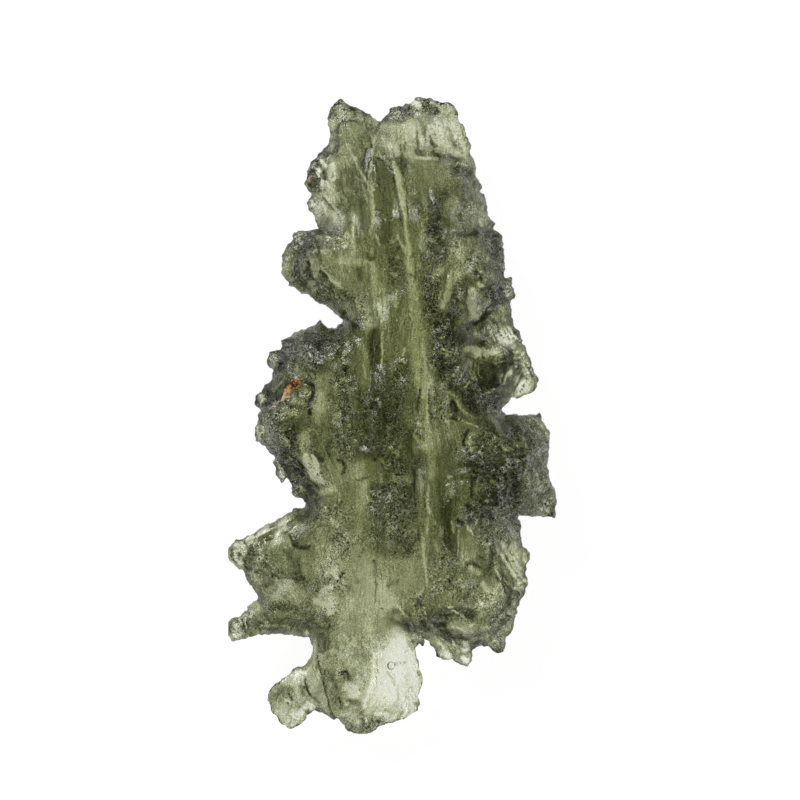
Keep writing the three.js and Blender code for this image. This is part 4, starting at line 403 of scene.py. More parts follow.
    (30, 0.07, -0.8, 14.15, -0.5, 14), (78, 0.08, 0.05, 13.9, 0.2, 13.5, 0.3, 13.1),
    (78, 0.15, 0.3, 13, 0.42, 12.4), (76, 0.17, 0.47, 12.3, 0.55, 11.7, 0.6, 11.3),
    (74, 0.11, 0.65, 11.2, 0.7, 10.6), (72, 0.07, 0.7, 10.6, 0.74, 10, 0.85, 9.4),
    (25, 0.04, -0.05, 13.6, 0.1, 12.9, 0.2, 12.2, 0.35, 11.2, 0.5, 10.4),
    (34, 0.04, 0.55, 13.3, 0.72, 12.6, 0.8, 11.8, 0.82, 11),
    # finer: crown and right shoulder
    (40, 0.05, 1.35, 15.6, 1.38, 15), (84, 0.06, 1.2, 15.7, 1.2, 14.8), (84, 0.06, 1.6, 15.3, 1.6, 14.7),
    (42, 0.05, 1.8, 15.9, 1.8, 15), (82, 0.06, 1.93, 15.4, 1.95, 14.7), (44, 0.05, 2.08, 15.4, 2.1, 14.9),
    (36, 0.13, 1.35, 14.55, 1.5, 14.35), (36, 0.08, 2.2, 14.5, 2.6, 14.25),
    (80, 0.04, 1.3, 14.1, 1.6, 14.2, 1.9, 14.1), (50, 0.05, 3, 15.9, 3.3, 15.3, 3.5, 14.8),
    (48, 0.05, 3.4, 15.6, 3.7, 14.9, 3.9, 14.4), (86, 0.06, 3.25, 15.9, 3.6, 15.1),
    (86, 0.06, 3.7, 15.3, 3.95, 14.6), (50, 0.05, 3.8, 15.9, 4, 15.2, 4.1, 14.8),
    (44, 0.12, 3.3, 14.2, 3.9, 14.1), (27, 0.16, 3.7, 13.5, 4.2, 13.3), (88, 0.05, 3.55, 13.85),
    (88, 0.05, 3.9, 13.8), (82, 0.05, 3.8, 13.5), (82, 0.05, 4.1, 13.6), (97, 0.08, 4.85, 10.75, 4.9, 10.5),
    (92, 0.06, 4.4, 10.65), (86, 0.06, 4.05, 11.25, 4, 11), (82, 0.06, 3.3, 11.1), (82, 0.06, 3.2, 10.65),
    (28, 0.16, 5.1, 10, 5.9, 10), (78, 0.05, 5.4, 10), (78, 0.05, 5.65, 9.8),
    # finer: first left lobe and below it
    (96, 0.08, -4.1, 9.85, -4, 9.85), (92, 0.08, -3.65, 9.85, -3.5, 9.8),
    (72, 0.09, -4.6, 8.9, -4.25, 8.35, -3.95, 8), (64, 0.15, -4.35, 8.5, -4.25, 8),
    (74, 0.05, -3.85, 8.05, -3.3, 7.5, -2.85, 7.15), (32, 0.04, -3.95, 7.9, -3.5, 7.5, -3.2, 7.2),
    (72, 0.06, -3.5, 7.6, -3.1, 7.2, -2.75, 7.05), (30, 0.09, -3.95, 7.95, -3.65, 7.6),
    (36, 0.18, -4.75, 8.5, -4.8, 7.6), (32, 0.08, -5, 9.5, -4.95, 8.8),
    (60, 0.2, -2.8, 8.5, -2, 8.4, -1.5, 8.4), (60, 0.16, -1.1, 8.3, -1, 7.4, -0.9, 6.9),
    (68, 0.09, -2.25, 10.4, -2.2, 9.4, -2.2, 8.8), (60, 0.07, -2.6, 10, -2.6, 9.2),
    (38, 0.09, -1.9, 10.3, -1.85, 9.4), (58, 0.05, -3.95, 7.3, -3.9, 6.6),
    (56, 0.05, -3.4, 6.9, -3.35, 6.3), (56, 0.05, -3.1, 6.8, -3.05, 6.3),
    (74, 0.14, -4.45, 7.3, -4.35, 6.8), (62, 0.15, -1.65, 6, -1.45, 5.4), (74, 0.06, -1.3, 5.2, -1.4, 5),
    (66, 0.05, -0.95, 7.2, -0.95, 5.6), (68, 0.05, -0.7, 7.2, -0.7, 5.4), (64, 0.05, -0.45, 7, -0.45, 5.2),
    (38, 0.04, -0.82, 7, -0.82, 5.4), (38, 0.04, -0.57, 7, -0.57, 5.2), (27, 0.25, -0.95, 4.5, -0.95, 2.5),
    (72, 0.045, -0.52, 4.6, -0.55, 3.6, -0.62, 2.6),
    # finer: waist and ribbon
    (27, 0.12, -0.35, 1.5, -0.3, 0.6, -0.2, -0.1), (72, 0.06, -0.65, 0.75, -0.62, 0.5),
    (66, 0.05, 0.45, 3.05, 0.7, 2.9), (74, 0.05, 0.62, 3.7, 0.6, 3.45), (64, 0.09, 1.3, -0.1, 1.5, -0.5),
    (66, 0.06, 0, -1.75, 0.3, -2.1), (62, 0.07, 0.8, -3.5, 1, -3.6), (62, 0.06, 0, -3.2, 0.1, -3.6),
    (66, 0.05, 0, -5.1, 0.15, -5.2), (66, 0.06, 0.9, -6, 1.1, -6.2), (58, 0.05, -0.4, -2.9, -0.2, -2.6),
    (60, 0.05, 0.6, -6.9, 0.8, -6.7), (74, 0.05, 1.65, 3.9, 1.72, 3.3, 1.8, 2.7),
    (88, 0.03, 1.68, 3.6, 1.72, 3.1), (82, 0.035, 1.42, 3, 1.5, 2.6),
    (68, 0.08, 1.85, 2.6, 1.9, 1.8, 1.85, 1), (72, 0.05, 1.75, 1.9, 1.65, 1),
    (64, 0.05, 2.1, 2.2, 2.15, 1.5), (26, 0.06, 1.5, 1.4, 1.42, 0.7, 1.35, 0.3),
    (28, 0.05, 1.98, 1.5, 1.98, 0.6, 2.1, -0.2), (70, 0.06, 1.92, 0.6, 1.93, -0.3),
    (64, 0.12, 1.95, -0.6, 2.05, -1.6, 2.2, -2.4), (68, 0.05, 1.6, -1.3, 1.8, -1.7, 1.9, -2.1),
    (60, 0.1, 2.2, -2.4, 2.1, -3.4), (74, 0.07, 1.95, -4, 1.9, -4.7, 1.95, -5.2),
    (38, 0.1, 1.55, -3.2, 1.7, -3.4),
    # finer: right lobe
    (95, 0.28, 5.75, 4.45, 6.1, 4.1), (42, 0.035, 5.55, 4.5, 5.85, 4.05), (42, 0.035, 5.8, 4.7, 6.15, 4.2),
    (42, 0.035, 6, 4.8, 6.4, 4.25), (40, 0.04, 6.3, 4.75, 6.65, 4.2), (97, 0.06, 6.2, 4.7, 6.5, 4.3),
    (92, 0.06, 6.5, 4.6, 6.8, 4.2), (88, 0.24, 4.32, 6.7, 4.38, 6, 4.55, 5.45),
    (86, 0.08, 4.75, 6, 4.85, 5.6), (34, 0.04, 4.03, 6.9, 4.03, 6.2, 4.13, 5.5),
    (82, 0.15, 4.1, 3.7, 4.8, 3.55, 5.4, 3.45, 5.9, 3.6), (86, 0.08, 4.2, 3.75, 4.6, 3.7),
    (30, 0.06, 4, 3.25, 4.5, 3.15, 5, 3.2), (72, 0.04, 5.7, 3.25, 6.3, 3.5, 7, 3.55),
    (44, 0.04, 5.8, 3.1, 6.4, 3.35, 7.1, 3.4), (68, 0.04, 5.9, 2.95, 6.5, 3.2, 7.1, 3.25),
    (26, 0.04, 6, 2.8, 6.6, 3.05, 7.1, 3.1), (50, 0.035, 4.3, 2.9, 4.25, 2.4, 4.4, 2),
    (48, 0.035, 4.55, 2.9, 4.45, 2.3, 4.6, 1.9), (46, 0.035, 4.75, 2.8, 4.7, 2.3, 4.85, 2),
    (44, 0.04, 3.6, 2.6, 3.9, 2.8, 4.2, 2.8), (84, 0.12, 6.8, 2.6),
    (30, 0.04, 6.95, 2.8, 6.5, 2.1, 6.2, 1.5), (30, 0.04, 6.6, 2.7, 6.25, 2.1, 6, 1.6),
    (30, 0.05, 7.15, 2.3, 6.8, 1.6, 6.5, 1.1), (30, 0.05, 7.4, 2.1, 7.05, 1.4),
    (32, 0.04, 6.3, 2.6, 5.95, 1.9), (90, 0.05, 6.8, 2.5, 6.4, 1.9, 6.15, 1.4),
    (92, 0.07, 6.95, 2.2, 6.65, 1.6, 6.5, 1.3), (90, 0.06, 7.25, 2, 6.95, 1.3),
    (86, 0.05, 6.45, 2.5, 6.1, 1.8), (82, 0.04, 6.05, 2.3, 5.8, 1.7), (36, 0.11, 7.4, 2.9, 7.7, 2.2),
    (74, 0.04, 7.2, 2.9, 7.5, 2.3), (74, 0.04, 7.45, 2.95, 7.75, 2.3), (30, 0.05, 7.85, 2.1, 7.8, 1.7),
    (70, 0.16, 3.4, 9.05, 3.8, 8.6), (68, 0.09, 3.3, 8, 3.05, 7.2, 2.85, 6.5),
    (72, 0.045, 3.1, 7.5, 2.9, 6.7, 2.72, 5.9), (34, 0.04, 2.95, 7.6, 2.75, 6.8, 2.62, 6.2),
    (66, 0.04, 2.65, 6.8, 2.6, 6), (72, 0.06, 2.3, 4.5), (74, 0.05, 3.4, 4.85),
    # finer: second left lobe
    (97, 0.15, -4.75, -2.2, -4.6, -2.7), (98, 0.18, -4.45, -2.8, -4.15, -3.4),
    (92, 0.1, -4.35, -2.2, -4.1, -2.7), (36, 0.04, -4.75, -2.5, -4.5, -3),
    (36, 0.04, -4.5, -2.2, -4.2, -2.9), (97, 0.07, -5.3, -2.55, -5.05, -2.85),
    (90, 0.1, -4, -3.4, -3.8, -3.65),
    (28, 0.03, -3.05, -2.45, -2.8, -2.5, -2.62, -2.75, -2.65, -3.05, -2.8, -3.2), (84, 0.08, -4.75, 1.45),
    (84, 0.07, -4.55, 1.2), (80, 0.06, -4.9, 1.1), (54, 0.2, -4.1, 1, -4.1, 0.2),
    (97, 0.07, -6.3, 2.1, -6.6, 1.45), (92, 0.05, -6.1, 1.9, -6.5, 1.35), (98, 0.1, -7.3, 1.1, -7.2, 0.85),
    (25, 0.05, -7.1, 1.5, -7.45, 1.1, -7.5, 0.7, -7.35, 0.4), (84, 0.12, -7.4, -0.8, -7.35, -1.2),
    (25, 0.05, -7.6, -0.7, -7.5, -1.3, -7.1, -1.6), (97, 0.14, -6.2, -3, -6.1, -3.5),
    (92, 0.12, -6.4, -2.4, -6.3, -2.8), (34, 0.05, -6.5, -2.9, -6.3, -3.4, -6.15, -3.6),
    (66, 0.26, -1.85, -2.8, -1.8, -3.2), (68, 0.18, -1.5, -3.8, -1.45, -4.6),
    (37, 0.06, -1.9, -3.5, -1.3, -3.35),
    # finer: right block
    (26, 0.09, 4.25, -2.3, 4.35, -3, 4.3, -4.4), (68, 0.12, 4.2, -1.2, 4.2, -1.45),
    (58, 0.05, 4.6, -1.4, 4.35, -1.8, 3.9, -2.1), (54, 0.2, 7.2, -0.9, 7.2, -1.6),
    (50, 0.18, 7.3, -2.2, 7.3, -4.4), (62, 0.12, 8, -3.6, 8.2, -4.1), (64, 0.1, 7.8, -4.4, 8, -4.7),
    (74, 0.045, 8.05, -2.1, 8.3, -2.6, 8.4, -3), (88, 0.1, 8.2, -5.1), (28, 0.05, 7.7, -4.25, 8.7, -4.25),
    (30, 0.06, 8.6, -3.7, 8.7, -4.3), (70, 0.05, 7.6, -0.5, 8.1, -0.9, 8.4, -1.6),
    (30, 0.05, 7.8, -0.4, 8.3, -0.8, 8.6, -1.5), (66, 0.05, 7.9, -1.4, 8.1, -2),
    (24, 0.28, 5.9, -4.2, 6.4, -4.5), (26, 0.18, 5.8, -3.4), (26, 0.1, 4.5, -2.5, 4.5, -2.9),
    # finer: spikes
    (34, 0.36, -6.3, -8.2, -5.7, -8.3, -5.3, -8.5),
    (24, 0.05, -6.9, -8.2, -6.7, -8.6, -6.2, -8.85, -5.5, -8.9, -5.1, -9), (42, 0.3, -5, -6.6, -4.8, -6.8),
    (27, 0.04, -5.5, -6.7, -5.45, -7, -5.1, -7.2, -4.7, -7.15, -4.5, -7.05),
    (82, 0.05, -5.4, -5.5, -6.4, -6, -7.4, -6.4, -8.3, -6.9),
    (48, 0.04, -5.6, -5.75, -6.6, -6.25, -7.6, -6.6), (80, 0.05, -5.8, -6.1, -6.8, -6.55, -7.8, -6.95),
    (46, 0.04, -6, -6.4, -7, -6.8, -7.8, -7.2), (76, 0.05, -6.2, -6.7, -7.1, -7.1),
    (28, 0.05, -8.85, -7.35, -8.85, -7.8, -8.6, -8.1), (26, 0.06, -8.5, -7.5, -8.3, -7.8, -8.2, -8.05),
    (82, 0.06, -8.65, -7.5, -8.6, -7.9), (88, 0.11, -3.3, -8.5, -3, -8.9),
    (90, 0.13, -3.9, -9.6, -3.4, -9.4), (92, 0.12, -4.2, -10.2, -3.6, -10.3),
    (90, 0.1, -3.3, -10.6, -3.5, -10.9), (60, 0.05, -7.2, -11.5, -6.4, -11.45, -5.6, -11.6),
    (34, 0.05, -7.3, -11.7, -6.3, -11.65, -5.4, -11.8), (28, 0.05, -8.3, -11.2, -8.2, -11.8),
    (28, 0.05, -8, -11.1, -7.9, -11.7), (64, 0.04, -8.15, -11.2, -8.05, -11.75), (100, 0.12, -4.72, -11.95),
    (28, 0.05, -4.1, -12, -4.1, -12.6, -3.9, -12.95, -3.55, -12.85, -3.5, -12.4, -3.6, -11.9),
    (58, 0.14, -3.85, -12.1, -3.8, -12.4),
    # finer: lower right
    (97, 0.04, 5.4, -7.75, 5.6, -8.3, 5.75, -8.6, 5.95, -9), (82, 0.04, 5.95, -9, 6.3, -9.6),
    (70, 0.3, 6.4, -7.4, 6.9, -8.6), (46, 0.04, 6, -7.3, 6.6, -8.3, 7.1, -9),
    (46, 0.04, 6.3, -7.2, 6.9, -8.1), (46, 0.04, 5.9, -7.9, 6.5, -8.9),
    (88, 0.05, 6.1, -7.1, 6.8, -8, 7.2, -8.5), (86, 0.05, 6, -7.6, 6.6, -8.6, 7, -9.2),
    (34, 0.1, 6.9, -8.9), (36, 0.08, 6.6, -8), (97, 0.15, 6.5, -6.2, 6.8, -6.6),
    (92, 0.1, 6.6, -6.9, 6.9, -7.2), (48, 0.05, 6.4, -6.3, 6.7, -6.9), (50, 0.35, 4, -6.8, 4.3, -7.4),
    (32, 0.04, 3.5, -6, 3.5, -7.8), (66, 0.04, 3.58, -6.2, 3.6, -7.6), (68, 0.045, 3.2, -5.7, 3.35, -6.4),
    (34, 0.13, 5.4, -7.6, 5.5, -8.2), (36, 0.14, 5.3, -8.4, 5.6, -8.8),
    (28, 0.05, 3.95, -8.3, 4.15, -8, 4.5, -8.05, 4.8, -8.3), (28, 0.22, 2.9, -10.7, 3.6, -10.7, 4.2, -11),
    (30, 0.18, 2.2, -11.1, 2.8, -11.2), (66, 0.05, 3.3, -10.6, 3.9, -11), (66, 0.05, 3, -10.4, 3.3, -10.4),
    (84, 0.05, 2.3, -11.7, 3.1, -12.1, 3.4, -12.6), (50, 0.04, 2.4, -11.9, 3.1, -12.3),
    (84, 0.05, 3.3, -11.5, 4.3, -11.9, 4.8, -12.3), (50, 0.04, 3.2, -11.7, 4.2, -12.1),
    (76, 0.05, 2.5, -12.3, 2.9, -12.9, 3.2, -13.3), (24, 0.06, 5.4, -11.4, 5.8, -11, 6.3, -10.5, 6.9, -9.9),
    (68, 0.05, 5.6, -11.5, 6.1, -11.1, 6.7, -10.4), (28, 0.05, 5.9, -11.7, 6.4, -11.2),
    (28, 0.08, 5.4, -12.8, 5.9, -12.95), (76, 0.05, 0.3, -10.4, 0.7, -10.9, 1.1, -11.6),
    (70, 0.045, 1.7, -10.5, 1.85, -11.2), (72, 0.04, 1.62, -7, 1.72, -7.9, 1.85, -8.8, 1.9, -9.4),
    # finer: foot
    (86, 0.13, -4.7, -15.9, -5.2, -16.5, -5.6, -17), (52, 0.11, -6.75, -15.6, -6.3, -16.6),
    (66, 0.16, -5, -14.3, -5.8, -14.8),
    (26, 0.04, -4.15, -13.2, -3.95, -14, -3.8, -14.7, -3.6, -15.4, -3.35, -16.4),
    (80, 0.22, -2.3, -15, -2.1, -15.3), (28, 0.04, -1.7, -16.7, -1.55, -16.95, -1.65, -17.2, -1.9, -17.2),
    (80, 0.04, -1.5, -16.7, -1.4, -17),
    (97, 0.05, -0.95, -13.1, -1.1, -13.8, -1.15, -14.5, -1.4, -15.4, -1.55, -16),
    (58, 0.05, -1.1, -13, -1.25, -13.9, -1.3, -14.6), (60, 0.04, -0.85, -13.3, -0.85, -14.2, -0.9, -14.9),
    (62, 0.035, -0.55, -12.9, -0.2, -12.5), (62, 0.035, -0.7, -12.6, -0.4, -12.3),
    (58, 0.045, 0.25, -14.9, 0.3, -15.5, 0.2, -16.1), (58, 0.04, 0.75, -15.2, 0.8, -16.2),
    (60, 0.04, 1.05, -14.8, 1.15, -15.9), (60, 0.04, 0.55, -14.2, 0.9, -14.6),
    (58, 0.035, 0.15, -13.75, 0.35, -13.6, 0.75, -13.6), (60, 0.05, -0.3, -14.1, 0, -14.5, 0.15, -14.9),
    (58, 0.06, -0.6, -16.2, -0.1, -16.4, 0.6, -16.35), (86, 0.1, -0.9, -16.4, -0.3, -16.5),
    (58, 0.06, -1.1, -16.5, -0.6, -16.7),
    # over those: right side, then second left lobe and ribbon
    (26, 0.38, 2.6, 4.4, 3.2, 4.6), (27, 0.3, 2.4, 5, 3.1, 5.4), (25, 0.28, 2.4, 3.8, 3.4, 4.1),
    (27, 0.45, 3.3, 2.7, 3.8, 1.8), (24, 0.42, 4.1, 1.5, 5.2, 1.2), (26, 0.3, 5.3, 2.6, 5.6, 1.8),
    (28, 0.3, 2.6, 3.2, 2.7, 2.2), (26, 0.32, 5.2, 6.8, 6, 6.75), (84, 0.05, 6.15, 7.1, 6.4, 6.6),
    (84, 0.05, 6.35, 7.2, 6.55, 6.8), (70, 0.04, 3.3, 2.2, 3.6, 2.6), (66, 0.04, 3.6, 1.9, 4, 2.5),
    (66, 0.04, 3.9, 1.5, 4.2, 1.9), (74, 0.09, 5.2, 1.3), (62, 0.04, 2.5, 3.5, 2.9, 3.4),
    (70, 0.04, 2.6, 3.7, 3, 3.6), (33, 0.5, 4.9, -0.4, 6.4, -0.6), (31, 0.4, 4.8, -1.4, 6.6, -1),
    (30, 0.5, 5, -2.2, 6.8, -2.4), (26, 0.5, 4.9, -3, 6.6, -3.2), (36, 0.22, 3.1, 0.3, 4.2, -0.2),
    (62, 0.03, 3.2, 0.1, 3.9, -0.3, 4.7, -0.6), (20, 0.14, 3.2, 0.6, 3.5, 0.3),
    (22, 0.12, 4.2, 0.5, 5.2, 0.3), (49, 0.12, 6.1, -1.8, 6.5, -1.8), (56, 0.16, 5.6, -1.2),
    (54, 0.14, 6.8, -2.4), (50, 0.14, 5.4, -3.6), (55, 0.12, 4.8, -2), (49, 0.12, 5.2, -4.6),
    (62, 0.16, 6.2, -9.8, 6.3, -10.6), (60, 0.14, 6.1, -10.9, 5.8, -11.4),
    (62, 0.18, 2.6, -11.8, 3.8, -12, 4.8, -12.2), (50, 0.2, 0.2, -11, 0.6, -11.3),
    (56, 0.1, 5.4, -12.1, 5.8, -12.5), (36, 0.16, 4.8, -7.9, 5.4, -8.3), (60, 0.14, 4.3, -8.3, 4.7, -8.6),
    (62, 0.12, 4.9, -9.2, 5.6, -10.2), (30, 0.08, 4.6, -7.8, 4.8, -7.75), (56, 0.3, -5.6, 2.6, -5.2, 2.5),
    (38, 0.18, -4.6, 3.4, -4.6, 2.6), (30, 0.16, -4.2, 3.8, -4.1, 2.8), (66, 0.22, -5.7, -1.6, -6.4, -1.2),
    (60, 0.2, -5, -4, -5.3, -4.3), (64, 0.2, -3.9, -4.2, -3.2, -4), (38, 0.25, -2.2, 2.3, -2.1, 0.6),
    (34, 0.25, -1.7, -0.2, -1.6, -1.9), (40, 0.2, -3.8, -0.8, -3.9, -1.8), (56, 0.1, 2.3, 7.9, 2.2, 7.4),
    (30, 0.25, 2.2, 9.2, 2.6, 8.6), (28, 0.2, 2, 6.8, 2.1, 6),
    # over those: middle of the body and the two spikes
    (31, 0.28, -0.3, 1.5, -0.3, 0.3), (30, 0.28, -0.8, -1.3, -0.8, -1.9), (34, 0.3, -1.8, 0.2, -1.7, -0.4),
    (34.5, 0.6, 0.2, -4.4, 0.6, -5.6, 0.7, -7), (33.5, 0.45, -0.8, -4.2, -0.9, -5.4),
    (37, 0.4, -0.9, -6, -0.8, -7.2), (31, 0.25, 1, -4.6, 1.2, -5.4), (42, 0.3, -1.3, -6, -1.4, -6.8),
    (56, 0.05, -0.3, -6.2, -0.2, -7.2), (42, 0.4, -6.5, -8.2, -6, -7.9, -5.8, -8.5),
    (50, 0.2, -4.9, -8, -4.8, -8.6), (56, 0.3, -7, -9.4, -6, -9.5),
    (47, 0.36, -6.6, -10.9, -5.6, -10.9, -4.8, -11.1), (44, 0.22, -4.1, -11.2, -3.7, -11.5),
    (52, 0.2, -7.2, -11.1, -6.9, -11.4), (38, 0.24, -3.9, -12, -3.8, -12.7),
    (60, 0.05, -7, -11.5, -5.8, -11.5), (38, 0.06, -6.6, -10.6, -5.4, -10.5),
    (36, 0.05, -7, -11.2, -5.8, -11.1, -5, -11.3), (76, 0.5, -7.2, -6.6, -5.9, -6),
    (56, 0.04, -8, -6.9, -6.6, -6.3, -5.4, -5.7), (56, 0.04, -7.6, -7.1, -6.4, -6.6, -5.8, -6.3),
    (84, 0.04, -7.8, -6.7, -6.6, -6.1, -5.5, -5.5), (84, 0.04, -7.4, -7, -6.2, -6.4),
    (46, 0.06, -5.9, -6.6, -5.8, -7.4), (44, 0.2, -5.2, -5.4, -5, -5.6),
    # over those: crown, left lobes and foot
    # Painted light: the light stroke along the crown's left rim lightens a dark line that the relief there
    # casts.
    (64, 0.3, -3.1, 16, -3.1, 15.2), (74, 0.16, -3, 15.4, -2.85, 15.9, -2.4, 16.25, -1.7, 16.3),
    (66, 0.3, -3.4, 14.9, -3, 14.7), (70, 0.4, -4.1, 11.1, -3.8, 10.6), (60, 0.12, -2.6, 16.1, -2.1, 16.15),
    (52, 0.45, -2.6, 13.3, -2.3, 12.5), (60, 0.22, -2.9, 14.8, -2.4, 14.7),
    (50, 0.16, -1.1, 9.1, -1.1, 8.8), (48, 0.26, -5.1, 8.7, -4.9, 7.8),
    (84, 0.12, -4.6, 8.8, -4.3, 8.35, -4.1, 8), (74, 0.16, -4.3, 8.2, -4.2, 7.7),
    (56, 0.26, -2.6, 6, -2.2, 5.5), (70, 0.04, -3.95, 7.2, -3.9, 6.7), (70, 0.04, -3.6, 7, -3.55, 6.5),
    (68, 0.04, -3.2, 6.8, -3.15, 6.3), (26, 0.28, -4.1, 4.3, -4.05, 3.3), (22, 0.1, -4.2, 2.9),
    (30, 0.14, -3.6, 4.2, -3.5, 3.6), (44, 0.22, -3.7, -14.2, -3.3, -15.2),
    (84, 0.28, -2.4, -14.9, -2.1, -15.3), (44, 0.36, -6.3, -15.4, -5.8, -15.1),
    (30, 0.05, -5.7, -15.3, -5.6, -15.7), (84, 0.06, -5.9, -15.65, -5.7, -15.75),
    (66, 0.3, -5.9, -14.6, -5, -14.2), (64, 0.3, -6.2, -16.2, -5.8, -16.8),
    (78, 0.12, -4.7, -15.8, -4.5, -16.1), (60, 0.04, -4.4, -15.6, -4.1, -15.95),
    (97, 0.24, -4.7, -2.5, -4.4, -2.9, -4.1, -3.4), (40, 0.03, -4.6, -2.5, -4.4, -2.9),
    (40, 0.03, -4.3, -2.8, -4.1, -3.2), (40, 0.03, -4.8, -2.7, -4.5, -3.2),
    (46, 0.18, 0.4, -10.9, 0.8, -11.2), (62, 0.18, -3.3, -12.9, -2.6, -13.3),
    (60, 0.05, -3, -14, -2.4, -13.3), (66, 0.05, -2.9, -13.6, -2.3, -13),
    # over those: tip of the right lobe, body and second left lobe
    (76, 0.28, 6.8, 1.9, 7.1, 1.4), (70, 0.2, 6.5, 2.6, 6.55, 2), (50, 0.16, 6.5, 3.45, 6.6, 2.95),
    (50, 0.05, 7.1, 2.2, 6.75, 1.5, 6.5, 1.1), (34, 0.05, 7.35, 2, 7, 1.3), (88, 0.05, 6.95, 2.1, 6.6, 1.4),
    (88, 0.05, 7.2, 1.9, 6.9, 1.2), (84, 0.04, 7.5, 1.9, 7.3, 1.4), (58, 0.3, -0.8, 6.9, -0.8, 6),
    (66, 0.05, -0.95, 7.2, -0.95, 5.6), (68, 0.05, -0.65, 7, -0.65, 5.6), (52, 0.5, -2.1, -11.2, -2, -11.8),
    (54, 0.14, 2, -1.4, 2.15, -2.3), (62, 0.04, 1.8, -1.2, 1.95, -2),
    (60, 0.45, -7, -0.2, -7, -1, -6.5, -1.6), (66, 0.14, -6.2, 2.3, -6.5, 1.6),
    (56, 0.3, -4.8, -1.2, -4.9, -1.7), (62, 0.3, -6.1, 0.2, -5.4, 0.3),
    (30, 0.05, -6.4, 0.6, -5.6, 0.5, -4.8, 0.4), (28, 0.05, -7.3, -0.2, -7.2, -1.3, -6.6, -1.9),
    (24, 0.22, -5.6, -1, -5.5, -1.5), (36, 0.25, -5, -0.2, -4.7, -0.4), (68, 0.25, -4, 1.2, -3.9, 0.4),
    (30, 0.08, -7.2, 1.6, -7.5, 1.2), (62, 0.18, -5.3, -4, -5.2, -4.3), (40, 0.18, -5.6, -3, -5.4, -3.5),
)

